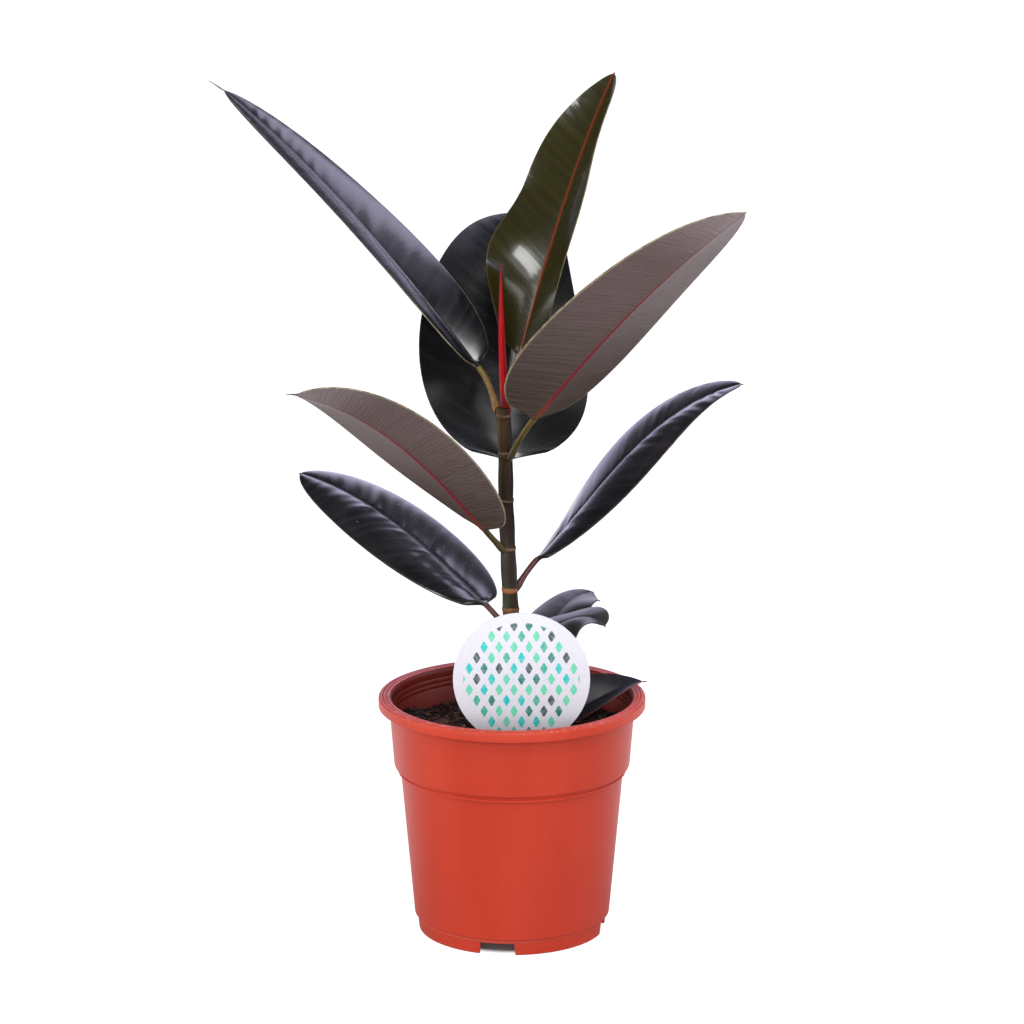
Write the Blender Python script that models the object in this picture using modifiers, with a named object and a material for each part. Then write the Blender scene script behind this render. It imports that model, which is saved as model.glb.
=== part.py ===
"""Potted rubber plant: a young single-stemmed plant in a round plastic nursery pot, with a plant label.

Metres, +Z up, the front of the pot towards -Y. The origin is on the floor, at the centre of the whole
plant's footprint. The leaves reach further to the left than to the right, so the pot's axis stands
a little to the right of that centre, and every piece is parented to an empty on the pot's axis.
"""
import math

import bmesh
import bpy
from mathutils import Matrix, Vector, noise
from mathutils.bvhtree import BVHTree

MM = 0.001
CLEARANCE = 0.3 * MM            # gap between two pieces that touch

# The pot's axis, measured from the centre of the plant's footprint.
POT_AXIS = Vector((15.5 * MM, 1 * MM, 0))

# Nursery pot, nominal 12 cm.
RIM_RADIUS = 60 * MM
POT_HEIGHT = 109 * MM
WALL = 1.2 * MM
RIM_SKIRT = 5 * MM              # height of the turned-down edge of the rim
FOOT_RADIUS = 42.8 * MM
FOOT_HEIGHT = 6 * MM
BODY_FOOT_RADIUS = 44.6 * MM    # the body stands proud of the foot ring
BODY_TOP_RADIUS = 49.9 * MM
BODY_TOP = 71.7 * MM            # where the tapered body ends and the shoulder starts
COLLAR_FOOT_RADIUS = 53 * MM
COLLAR_FOOT = 76.5 * MM
COLLAR_TOP_RADIUS = 55.1 * MM
TURN_STEPS = 48

# Drainage: notches in the foot ring and holes in the floor.
NOTCHES = 4
FIRST_NOTCH_DEG = -99           # direction of the front notch, just left of the front
NOTCH_TOP_WIDTH = 12 * MM
NOTCH_FOOT_WIDTH = 17 * MM
NOTCH_HEIGHT = 5.4 * MM
NOTCH_DEPTH = 12 * MM          # of the cutter, which goes right through the ring
DRAIN_RADIUS = 4 * MM
DRAIN_CIRCLE = 31 * MM

# Potting mix.
MIX_LEVEL = 92.4 * MM
MIX_LUMP = 1.3 * MM
MIX_LUMP_LENGTH = 17 * MM
CHIP_THICKNESS = 1.6 * MM
# Bark chips on the mix: place, length, width (mm) and turn (degrees).
CHIPS = (
    (-43, -10, 7, 4, 20), (-35, -22, 6, 3.5, 110), (-31, 8, 8, 4.5, 65), (-15, 27, 6, 4, 150),
    (12, 33, 7, 4, 30), (34, 27, 6, 3.5, 100), (30, -38, 6, 4, 45), (-18, -9, 5.5, 3.5, 80),
)

# Stem: height and sideways lean of its axis, from the root crown in the mix to the apex.
STEM_AXIS = ((58, 0.6), (93, 0.0), (147, -0.5), (176, -1.8), (199, -2.7), (221, -2.9), (241, -4.0))
STEM_FOOT_RADIUS = 3.8 * MM
STEM_TOP_RADIUS = 3.2 * MM
ROOT_CROWN_RADIUS = 2.2 * MM
SCAR_SWELL = 0.35 * MM
SCAR_REACH = 1.6 * MM
STEM_BOTTOM = 58 * MM
STEM_APEX = 241 * MM

# Red sheath round the next leaf, at the apex.
SHEATH_RADIUS = 1.9 * MM
SHEATH_LENGTH = 65 * MM
SHEATH_LEAN = -1.8 * MM

# Plant label.
LABEL_RADIUS = 30.3 * MM
LABEL_THICKNESS = 0.8 * MM
LABEL_CENTRE = Vector((4.2 * MM, -30 * MM, 125 * MM))
STAKE_WIDTH = 9 * MM
STAKE_TIP = 38 * MM             # height of the stake's point above the floor
STAKE_TAPER = 12 * MM

# Leaves.
LEAF_THICKNESS = 0.9 * MM
PETIOLE_RADIUS = 1.3 * MM
PETIOLE_FOOT_RADIUS = 1.8 * MM
KEEL = 1.3 * MM                 # how far the midrib stands out under the blade
PETIOLE_BEND = 0.4              # share of the petiole that runs in line with the blade
THIN_MARGIN = 4 * MM            # half width below which the blade gets thinner
TIP_HALF_WIDTH = 0.6 * MM
THREAD_RADIUS = 0.45 * MM
BLADE_BASE_ROUNDNESS = 0.44
BROAD_TIP = 0.62
SLENDER_TIP = 0.76
TOP_POINTS = 7                  # points of a section across the upper face, and under it
UNDER_POINTS = 5


def leaf(node, base, length, width, heading, rise, roll, fold, curl,
         tip=BROAD_TIP, ripple=(0, 0, 1, 0), drip=0):
    """The measurements of one leaf, in millimetres and degrees.

    node is the height of its scar on the stem, and base is where the blade starts. heading (0 is +X,
    90 is +Y) and rise give the midrib's direction, and roll the blade's turn about it, each at the
    base, the middle and the tip. fold lifts both halves from flat and curl lifts their margins.
    ripple waves the halves: lift on the right and on the left half, waves, and place of the crest.
    drip is the length of the thread at the tip.
    """
    return dict(node=node, base=base, length=length, width=width, heading=heading, rise=rise,
                roll=roll, fold=fold, curl=curl, tip=tip, ripple=ripple, drip=drip)


LEAVES = {
    "leaf_01": leaf(node=239, base=(-14.5, 7, 257.5), length=169, width=41,
                    heading=(152, 160, 174), rise=(47, 45, 39), roll=(-15, -5, -21),
                    fold=(33, 17, 11), curl=-7, tip=SLENDER_TIP, drip=8),
    "leaf_02": leaf(node=237, base=(3, 12, 261.5), length=140, width=54, heading=(51, 53, 61),
                    rise=(65, 60, 42), roll=(31, -11, -6), fold=(41, 27, 21), curl=8,
                    tip=SLENDER_TIP, ripple=(5, 18, 1.25, 0.12)),
    "leaf_03": leaf(node=219, base=(9.5, -16, 239.5), length=155, width=66, heading=(-43, -41, -31),
                    rise=(47, 43, 37), roll=(-17, -11, -30), fold=(12, 10, 16), curl=4,
                    tip=SLENDER_TIP),
    "leaf_04": leaf(node=199, base=(-2, 26.5, 210.5), length=127, width=87, heading=(93, 75, 93),
                    rise=(69, 65, 13), roll=(9, -4, -31), fold=(7, 23, 32), curl=18),
    "leaf_05": leaf(node=177, base=(-12, -12.5, 188.5), length=137, width=53,
                    heading=(234, 224, 219), rise=(43, 38, 17), roll=(-5, 12, 23),
                    fold=(13, 11, 25), curl=-5, drip=6),
    "leaf_06": leaf(node=141, base=(-11.5, 6, 149), length=113, width=53, heading=(141, 146, 158),
                    rise=(32, 27, 11), roll=(3, -4, -15), fold=(4, -3, -2), curl=-7),
    "leaf_07": leaf(node=158, base=(11, 8, 169.5), length=126, width=47, heading=(17, 29, 5),
                    rise=(45, 39, 12), roll=(-15, -6, 7), fold=(2, -7, 11), curl=2),
    "leaf_08": leaf(node=127, base=(16, 4, 133.5), length=45, width=38, heading=(83, 60, 40),
                    rise=(25, 20, -6), roll=(-4, -19, 16), fold=(12, 8, -1), curl=-15),
    "leaf_09": leaf(node=131, base=(13, -8.5, 139), length=32, width=34, heading=(10, -5, -28),
                    rise=(32, 18, -43), roll=(8, 3, 10), fold=(2, -1, 17), curl=-7,
                    ripple=(15, 3, 1.05, 0.05)),
    "leaf_10": leaf(node=96, base=(7, -1, 97.5), length=57, width=29, heading=(-17, 12, 27),
                    rise=(2, 21, 35), roll=(43, 26, 2), fold=(26, 28, 21), curl=4,
                    tip=SLENDER_TIP, drip=3),
}


# ---------------------------------------------------------------- scene, collections and materials

def clear_scene():
    for item in list(bpy.data.objects):
        bpy.data.objects.remove(item, do_unlink=True)


def new_collection(name):
    collection = bpy.data.collections.new(name)
    bpy.context.scene.collection.children.link(collection)
    return collection


def material(name, colour, roughness):
    made = bpy.data.materials.new(name)
    made.use_nodes = True
    shader = made.node_tree.nodes["Principled BSDF"]
    shader.inputs["Base Color"].default_value = (*colour, 1)
    shader.inputs["Roughness"].default_value = roughness
    shader.inputs["Metallic"].default_value = 0
    made.diffuse_color = (*colour, 1)
    return made


def add_part(part, finish):
    """A sub-part of the plant, parented to the empty on the pot's axis."""
    PARTS.objects.link(part)
    part.parent = AXIS
    part.data.materials.append(finish)
    return part


def add_cutter(name, data):
    cutter = bpy.data.objects.new(name, data)
    CUTTERS.objects.link(cutter)
    cutter.parent = AXIS
    cutter.hide_render = True
    cutter.display_type = "WIRE"
    return cutter


def cut(part, cutter):
    boolean = part.modifiers.new("cut_" + cutter.name, "BOOLEAN")
    boolean.operation = "DIFFERENCE"
    boolean.solver = "EXACT"
    boolean.object = cutter


def to_mesh(source, name):
    """The evaluated shape of an object as a welded mesh, and the object removed."""
    graph = bpy.context.evaluated_depsgraph_get()
    made = bpy.data.meshes.new_from_object(source.evaluated_get(graph))
    made.name = name
    made.materials.clear()
    bm = bmesh.new()
    bm.from_mesh(made)
    bmesh.ops.remove_doubles(bm, verts=bm.verts, dist=0.01 * MM)
    bm.to_mesh(made)
    bm.free()
    bpy.data.objects.remove(source, do_unlink=True)
    return made


def smooth(mesh):
    mesh.shade_smooth()
    mesh.set_sharp_from_angle(angle=math.radians(40))


# ---------------------------------------------------------------- turned shapes

def rounded(corners, arc_steps=3):
    """Outline through corners (radius, height, fillet), each fillet replaced by an arc."""
    points = []
    for index, (radius, height, fillet) in enumerate(corners):
        here = Vector((radius, height))
        if fillet == 0:
            points.append(here)
            continue
        back = (Vector(corners[index - 1][:2]) - here).normalized()
        ahead = (Vector(corners[index + 1][:2]) - here).normalized()
        half_angle = back.angle(ahead) / 2
        centre = here + (back + ahead).normalized() * fillet / math.sin(half_angle)
        start = here + back * fillet / math.tan(half_angle) - centre
        end = here + ahead * fillet / math.tan(half_angle) - centre
        turn = start.angle_signed(end)
        for step in range(arc_steps + 1):
            angle = -turn * step / arc_steps
            points.append(centre + Matrix.Rotation(angle, 2) @ start)
    return points


def turned(name, outline, steps):
    """A profile in the XZ plane, turned about Z by a Screw modifier."""
    mesh = bpy.data.meshes.new(name)
    vertices = [(point[0], 0, point[1]) for point in outline]
    mesh.from_pydata(vertices, [(i, i + 1) for i in range(len(vertices) - 1)], [])
    body = bpy.data.objects.new(name, mesh)
    screw = body.modifiers.new("turn", "SCREW")
    screw.axis = "Z"
    screw.steps = steps
    screw.render_steps = steps
    screw.use_merge_vertices = True
    screw.merge_threshold = 0.05 * MM
    screw.use_smooth_shade = True
    return body


def pot_outline():
    """From the middle of the floor's upper face, up the inside, over the rim and down the outside."""
    floor_top = FOOT_HEIGHT + WALL
    rim_inside = COLLAR_TOP_RADIUS - WALL / 2
    skirt_inside = RIM_RADIUS - WALL
    skirt_foot = POT_HEIGHT - RIM_SKIRT
    foot_inside = FOOT_RADIUS - 2 * WALL
    corners = [
        (0, floor_top, 0),
        (BODY_FOOT_RADIUS - WALL, floor_top, 2 * MM),
        (BODY_TOP_RADIUS - WALL, BODY_TOP + 0.6 * MM, 2 * MM),
        (COLLAR_FOOT_RADIUS - WALL, COLLAR_FOOT + 0.6 * MM, 2 * MM),
        (COLLAR_TOP_RADIUS - 1.3 * WALL, POT_HEIGHT - 2 * MM, 0),
        (rim_inside, POT_HEIGHT, 0.8 * MM),
        (RIM_RADIUS, POT_HEIGHT, 1 * MM),
        (RIM_RADIUS, skirt_foot, 0),
        (skirt_inside, skirt_foot, 0),
        (skirt_inside, POT_HEIGHT - WALL, 0),
        (COLLAR_TOP_RADIUS + 0.3 * MM, POT_HEIGHT - WALL, 0),
        (COLLAR_TOP_RADIUS, skirt_foot, 0),
        (COLLAR_FOOT_RADIUS, COLLAR_FOOT, 2 * MM),
        (BODY_TOP_RADIUS, BODY_TOP, 2 * MM),
        (BODY_FOOT_RADIUS, FOOT_HEIGHT + 0.6 * MM, 0),
        (FOOT_RADIUS, FOOT_HEIGHT, 0),
        (FOOT_RADIUS - 0.8 * MM, 0, 0.8 * MM),
        (foot_inside, 0, 0),
        (foot_inside, FOOT_HEIGHT, 0),
        (0, FOOT_HEIGHT, 0),
    ]
    return rounded(corners)


def notch_cutters():
    """Four wedges that are wider at the floor, across the foot ring."""
    bm = bmesh.new()
    for index in range(NOTCHES):
        angle = math.radians(FIRST_NOTCH_DEG + index * 360 / NOTCHES)
        block = bmesh.ops.create_cube(bm, size=1)["verts"]
        for vertex in block:
            at_top = vertex.co.z > 0
            vertex.co.x = FOOT_RADIUS + vertex.co.x * NOTCH_DEPTH
            vertex.co.y *= NOTCH_TOP_WIDTH if at_top else NOTCH_FOOT_WIDTH
            vertex.co.z = NOTCH_HEIGHT if at_top else -WALL
        bmesh.ops.rotate(bm, verts=block, cent=(0, 0, 0), matrix=Matrix.Rotation(angle, 3, "Z"))
    mesh = bpy.data.meshes.new("foot_notches")
    bm.to_mesh(mesh)
    bm.free()
    return add_cutter("foot_notches", mesh)


def drain_cutters():
    """One drain hole in the middle of the floor and one beside each notch."""
    places = [(0, 0)]
    for index in range(NOTCHES):
        angle = math.radians(FIRST_NOTCH_DEG + index * 360 / NOTCHES)
        places.append((DRAIN_CIRCLE * math.cos(angle), DRAIN_CIRCLE * math.sin(angle)))
    bm = bmesh.new()
    for x, y in places:
        place = Matrix.Translation((x, y, FOOT_HEIGHT))
        bmesh.ops.create_cone(bm, cap_ends=True, segments=16, radius1=DRAIN_RADIUS,
                              radius2=DRAIN_RADIUS, depth=4 * WALL, matrix=place)
    mesh = bpy.data.meshes.new("drain_holes")
    bm.to_mesh(mesh)
    bm.free()
    return add_cutter("drain_holes", mesh)


def build_pot():
    pot = turned("pot", pot_outline(), TURN_STEPS)
    add_part(pot, material("terracotta_plastic", (0.60, 0.065, 0.03), 0.45))
    cut(pot, notch_cutters())
    cut(pot, drain_cutters())


# ---------------------------------------------------------------- stem

def stem_lean(height):
    """Sideways place of the stem's axis at a height."""
    for (low, lean_low), (high, lean_high) in zip(STEM_AXIS, STEM_AXIS[1:]):
        if height <= high * MM:
            share = max(0, (height / MM - low) / (high - low))
            return (lean_low + share * (lean_high - lean_low)) * MM
    return STEM_AXIS[-1][1] * MM


def stem_radius(height):
    if height < MIX_LEVEL:
        share = (height - STEM_BOTTOM) / (MIX_LEVEL - STEM_BOTTOM)
        return ROOT_CROWN_RADIUS + share * (STEM_FOOT_RADIUS - ROOT_CROWN_RADIUS)
    share = (height - MIX_LEVEL) / (STEM_APEX - MIX_LEVEL)
    return STEM_FOOT_RADIUS + share * (STEM_TOP_RADIUS - STEM_FOOT_RADIUS)


def tube(name, points, sides=4):
    """A POLY curve through (position, radius) points with filled caps."""
    curve = bpy.data.curves.new(name, "CURVE")
    curve.dimensions = "3D"
    curve.bevel_depth = 1
    curve.bevel_resolution = sides
    curve.use_fill_caps = True
    spline = curve.splines.new("POLY")
    spline.points.add(len(points) - 1)
    for target, (position, radius) in zip(spline.points, points):
        target.co = (*position, 1)
        target.radius = radius
    return bpy.data.objects.new(name, curve)


def stem_points(extra=0.0):
    """The stem's axis with a low ring at each leaf scar; extra widens and lengthens it."""
    heights = {STEM_BOTTOM - extra: 0, MIX_LEVEL: 0, STEM_APEX + extra: 0}
    for measures in LEAVES.values():
        scar = measures["node"] * MM
        if scar > STEM_APEX - 3 * SCAR_REACH or scar < MIX_LEVEL + 2 * SCAR_REACH:
            continue
        heights[scar - SCAR_REACH] = 0
        heights[scar] = SCAR_SWELL
        heights[scar + SCAR_REACH] = 0
    points = []
    for height in sorted(heights):
        place = Vector((stem_lean(height), 0, height))
        points.append((place, stem_radius(height) + heights[height] + extra))
    return points


def build_stem():
    add_part(tube("stem", stem_points()), material("stem_bark", (0.09, 0.10, 0.05), 0.6))


def build_bud_sheath():
    """A slender spear, round at its foot and drawn out to a point."""
    foot = Vector((stem_lean(STEM_APEX), 0, STEM_APEX + CLEARANCE))
    shape = ((0, 0.95), (0.08, 1.0), (0.3, 0.92), (0.55, 0.74), (0.8, 0.45), (0.93, 0.24), (1, 0.06))
    points = []
    for share, fullness in shape:
        place = foot + Vector((SHEATH_LEAN * share, 0, SHEATH_LENGTH * share))
        points.append((place, SHEATH_RADIUS * fullness))
    add_part(tube("bud_sheath", points), material("red_sheath", (0.52, 0.005, 0.012), 0.25))


# ---------------------------------------------------------------- potting mix

def mix_height(x, y):
    """Height of the lumpy surface of the mix."""
    place = Vector((x, y, 0)) / MIX_LUMP_LENGTH
    return MIX_LEVEL + MIX_LUMP * noise.noise(place, noise_basis="PERLIN_ORIGINAL")


def mix_outline():
    """The inside of the pot less a small clearance, from the middle of the top to that of the foot."""
    gap = 2 * CLEARANCE
    floor = FOOT_HEIGHT + WALL + CLEARANCE
    collar = COLLAR_FOOT_RADIUS - WALL - gap
    rise = (MIX_LEVEL - COLLAR_FOOT) / (POT_HEIGHT - COLLAR_FOOT)
    edge = collar + rise * (COLLAR_TOP_RADIUS - COLLAR_FOOT_RADIUS)
    outline = [(radius * MM, MIX_LEVEL) for radius in (0, 8, 15, 22, 29, 36, 43, 49)]
    outline += [(edge, MIX_LEVEL - 0.5 * MM), (collar, COLLAR_FOOT + 2 * gap)]
    outline += [(BODY_TOP_RADIUS - WALL - gap, BODY_TOP + 1.5 * gap)]
    outline += [(BODY_FOOT_RADIUS - WALL - CLEARANCE, floor + 3 * MM)]
    outline += [(BODY_FOOT_RADIUS - WALL - 3 * MM, floor), (0, floor)]
    return outline


def build_mix(stem_clearance, stake_clearance):
    turned_mix = turned("mix_form", mix_outline(), TURN_STEPS)
    PARTS.objects.link(turned_mix)
    mesh = to_mesh(turned_mix, "potting_mix")
    for vertex in mesh.vertices:
        if vertex.co.z > MIX_LEVEL - 1 * MM:
            vertex.co.z += mix_height(vertex.co.x, vertex.co.y) - MIX_LEVEL
    smooth(mesh)
    mix = bpy.data.objects.new("potting_mix", mesh)
    add_part(mix, material("potting_mix", (0.035, 0.018, 0.01), 0.95))
    cut(mix, stem_clearance)
    cut(mix, stake_clearance)
    return mix


def stem_clearance_cutter():
    form = tube("stem_form", stem_points(CLEARANCE))
    PARTS.objects.link(form)
    return add_cutter("stem_clearance", to_mesh(form, "stem_clearance"))


def stake_clearance_cutter():
    """A slot in the mix for the label's stake."""
    low = STAKE_TIP - CLEARANCE
    high = LABEL_CENTRE.z
    bm = bmesh.new()
    bmesh.ops.create_cube(bm, size=1)
    for vertex in bm.verts:
        vertex.co.x = LABEL_CENTRE.x + vertex.co.x * (STAKE_WIDTH + 2 * CLEARANCE)
        vertex.co.y = LABEL_CENTRE.y + vertex.co.y * (LABEL_THICKNESS + 2 * CLEARANCE)
        vertex.co.z = high if vertex.co.z > 0 else low
    mesh = bpy.data.meshes.new("stake_slot")
    bm.to_mesh(mesh)
    bm.free()
    return add_cutter("stake_slot", mesh)


def build_chips(mix_mesh):
    """Flat wedges of bark, each lying on the mix with a hair's clearance."""
    ground = BVHTree.FromPolygons([v.co for v in mix_mesh.vertices],
                                  [p.vertices for p in mix_mesh.polygons])
    down = Vector((0, 0, -1))
    above = Vector((0, 0, 10 * MM))
    finish = material("bark_chips", (0.10, 0.045, 0.02), 0.85)
    for number, (x, y, length, width, turn_deg) in enumerate(CHIPS, 1):
        place, normal, _, _ = ground.ray_cast(Vector((x * MM, y * MM, MIX_LEVEL)) + above, down)
        lean = Vector((0, 0, 1)).rotation_difference(normal).to_matrix()
        spin = Matrix.Rotation(math.radians(turn_deg), 3, "Z")
        bm = bmesh.new()
        bmesh.ops.create_cube(bm, size=1)
        for vertex in bm.verts:
            taper = 0.7 if vertex.co.x > 0 else 1
            shape = Vector((length * MM, width * MM * taper, CHIP_THICKNESS * taper))
            vertex.co = place + lean @ spin @ (vertex.co * shape)
        drops = [v.co.z - ground.ray_cast(v.co + above, down)[0].z for v in bm.verts]
        for vertex in bm.verts:
            vertex.co.z += 1.5 * CLEARANCE - min(drops)
        mesh = bpy.data.meshes.new("bark_chip")
        bm.to_mesh(mesh)
        bm.free()
        add_part(bpy.data.objects.new(f"bark_chip_{number}", mesh), finish)


# ---------------------------------------------------------------- plant label

def label_outline(arc_steps=40):
    """A round face with a pointed stake below it, around the face's centre."""
    half = STAKE_WIDTH / 2
    stake_angle = math.asin(half / LABEL_RADIUS)
    start = -math.pi / 2 + stake_angle
    sweep = math.tau - 2 * stake_angle
    points = []
    for step in range(arc_steps + 1):
        angle = start + sweep * step / arc_steps
        points.append((LABEL_RADIUS * math.cos(angle), LABEL_RADIUS * math.sin(angle)))
    tip = STAKE_TIP - LABEL_CENTRE.z
    points += [(-half, tip + STAKE_TAPER), (-1 * MM, tip), (1 * MM, tip), (half, tip + STAKE_TAPER)]
    return points


def build_label():
    curve = bpy.data.curves.new("plant_label", "CURVE")
    curve.dimensions = "2D"
    curve.fill_mode = "BOTH"
    curve.extrude = LABEL_THICKNESS / 2
    outline = label_outline()
    spline = curve.splines.new("POLY")
    spline.points.add(len(outline) - 1)
    for target, point in zip(spline.points, outline):
        target.co = (*point, 0, 1)
    spline.use_cyclic_u = True
    label = bpy.data.objects.new("plant_label", curve)
    label.location = LABEL_CENTRE
    label.rotation_euler = (math.radians(90), 0, 0)
    add_part(label, material("label_plastic", (0.82, 0.80, 0.92), 0.35))


# ---------------------------------------------------------------- leaves

def through(values, share):
    """A smooth value through three given at the base, the middle and the tip."""
    base, middle, tip = values
    return (base * (1 - share) * (1 - 2 * share) + middle * 4 * share * (1 - share)
            + tip * share * (2 * share - 1))


def direction(measures, share):
    heading = math.radians(through(measures["heading"], share))
    rise = math.radians(through(measures["rise"], share))
    return Vector((math.cos(rise) * math.cos(heading), math.cos(rise) * math.sin(heading),
                   math.sin(rise)))


def blade_frame(measures, share):
    """Left and up directions of the blade at a share of its length."""
    along = direction(measures, share)
    heading = math.radians(through(measures["heading"], share))
    left = Vector((-math.sin(heading), math.cos(heading), 0))
    up = along.cross(left)
    roll = math.radians(through(measures["roll"], share))
    return left * math.cos(roll) + up * math.sin(roll), up * math.cos(roll) - left * math.sin(roll)


def half_width(measures, share):
    """A blade that is round at its base and drawn out to its tip."""
    base, tip = BLADE_BASE_ROUNDNESS, measures["tip"]
    widest = (base / (base + tip)) ** base * (tip / (base + tip)) ** tip
    return measures["width"] * MM / 2 * share ** base * (1 - share) ** tip / widest


def lift(measures, share, side):
    """How far a half of the blade is lifted from flat at side (-1 right margin, 1 left margin)."""
    right, left, waves, crest = measures["ripple"]
    wave = math.cos(math.tau * waves * (share - crest)) * abs(side) * (left if side > 0 else right)
    return math.radians(through(measures["fold"], share) + measures["curl"] * abs(side) / 2 + wave)


def blade_section(measures, share, centre):
    """Points round the blade: over the upper face from right to left, and back under it."""
    left, up = blade_frame(measures, share)
    half = max(half_width(measures, share), TIP_HALF_WIDTH)
    body = min(1, half / THIN_MARGIN)
    points = []
    for index in range(TOP_POINTS + UNDER_POINTS):
        on_top = index < TOP_POINTS
        if on_top:
            side = -1 + 2 * index / (TOP_POINTS - 1)
        else:
            side = 1 - 2 * (index - TOP_POINTS + 1) / (UNDER_POINTS + 1)
        angle = lift(measures, share, side)
        place = centre + left * half * side * math.cos(angle) + up * half * abs(side) * math.sin(angle)
        if not on_top:
            depth = LEAF_THICKNESS * body
            if abs(side) < 0.01:
                depth += KEEL * (1 - 0.7 * share)
            place -= up * depth
        points.append(place)
    return points


def round_section(centre, along, left, radius):
    """Points round the petiole, in the same order as those of the blade."""
    side = (left - along * left.dot(along)).normalized()
    up = along.cross(side)
    points = []
    for index in range(TOP_POINTS + UNDER_POINTS):
        if index < TOP_POINTS:
            angle = math.pi * (1 - index / (TOP_POINTS - 1))
        else:
            angle = -math.pi * (index - TOP_POINTS + 1) / (UNDER_POINTS + 1)
        points.append(centre + (side * math.cos(angle) + up * math.sin(angle)) * radius)
    return points


def petiole_sections(measures, steps=5):
    """From flat against the stem at the scar, in one bend, to the foot of the blade."""
    height = measures["node"] * MM
    base = Vector(measures["base"]) * MM
    axis = Vector((stem_lean(height), 0, height))
    outwards = Vector((base.x - axis.x, base.y, 0)).normalized()
    start = axis + outwards * (stem_radius(height) + SCAR_SWELL + CLEARANCE)
    bend = base - direction(measures, 0) * (base - start).length * PETIOLE_BEND
    blade_left, _ = blade_frame(measures, 0)
    stem_left = Vector((-outwards.y, outwards.x, 0))
    sections = []
    for step in range(steps):
        share = step / steps
        centre = (start * (1 - share) ** 2 + bend * 2 * share * (1 - share) + base * share ** 2)
        along = ((bend - start) * (1 - share) + (base - bend) * share).normalized()
        if step == 0:
            along = outwards
        left = stem_left.lerp(blade_left, share)
        radius = PETIOLE_FOOT_RADIUS + (PETIOLE_RADIUS - PETIOLE_FOOT_RADIUS) * min(1, share * 2.5)
        sections.append(round_section(centre, along, left, radius))
    sections.append(round_section(base, direction(measures, 0), blade_left, PETIOLE_RADIUS))
    return sections


def blade_shares(length):
    """Stations along the blade, closer together where its base and tip are rounded."""
    count = 13 if length > 80 else 9
    shares = [0.012, 0.045]
    for index in range(1, count):
        shares.append(0.06 + 0.94 * math.sin(math.pi / 2 * index / count))
    return shares


def leaf_sections(measures):
    sections = petiole_sections(measures)
    length = measures["length"] * MM
    centre = Vector(measures["base"]) * MM
    fine_steps = 120
    reached = 0
    for share in blade_shares(measures["length"]):
        target = round(share * fine_steps)
        for step in range(reached, target):
            centre = centre + direction(measures, (step + 0.5) / fine_steps) * length / fine_steps
        reached = target
        sections.append(blade_section(measures, share, centre))
    tail = (fine_steps - reached) / fine_steps * length + measures["drip"] * MM
    left, up = blade_frame(measures, 1)
    along = direction(measures, 1)
    thread = centre + along * tail * 0.7 - up * LEAF_THICKNESS / 2
    sections.append(round_section(thread, along, left, THREAD_RADIUS))
    return sections, thread + along * tail * 0.3


def build_leaf(name, measures, finish):
    """The petiole and blade as one loft, from a round section to a thin folded one."""
    sections, tip = leaf_sections(measures)
    bm = bmesh.new()
    rings = [[bm.verts.new(point) for point in section] for section in sections]
    count = TOP_POINTS + UNDER_POINTS
    for ring, following in zip(rings, rings[1:]):
        for index in range(count):
            after = (index + 1) % count
            bm.faces.new((ring[index], following[index], following[after], ring[after]))
    bm.faces.new(rings[0])
    point = bm.verts.new(tip)
    for index in range(count):
        bm.faces.new((rings[-1][index], point, rings[-1][(index + 1) % count]))
    bmesh.ops.triangulate(bm, faces=bm.faces)
    bmesh.ops.recalc_face_normals(bm, faces=bm.faces)
    mesh = bpy.data.meshes.new(name)
    bm.to_mesh(mesh)
    bm.free()
    smooth(mesh)
    add_part(bpy.data.objects.new(name, mesh), finish)


# ---------------------------------------------------------------- the whole plant

clear_scene()
PARTS = new_collection("potted_rubber_plant")
CUTTERS = new_collection("cutters")
AXIS = bpy.data.objects.new("pot_axis", None)
AXIS.location = POT_AXIS
PARTS.objects.link(AXIS)

build_pot()
build_stem()
build_bud_sheath()
potting_mix = build_mix(stem_clearance_cutter(), stake_clearance_cutter())
build_chips(potting_mix.data)
build_label()
for leaf_name, leaf_measures in LEAVES.items():
    leaf_finish = material(leaf_name, (0.025, 0.022, 0.035), 0.3)
    build_leaf(leaf_name, leaf_measures, leaf_finish)
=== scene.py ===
"""Looks of the potted rubber plant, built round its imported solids.

Metres, +Z up, the front of the pot towards -Y. The pieces follow the order in which the plant is
put together: pot, potting mix and bark, stem, bud sheath, leaves, label, and then the studio.
"""
import math
import random

import bpy
import numpy as np
from mathutils import Matrix, Vector, noise


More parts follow.
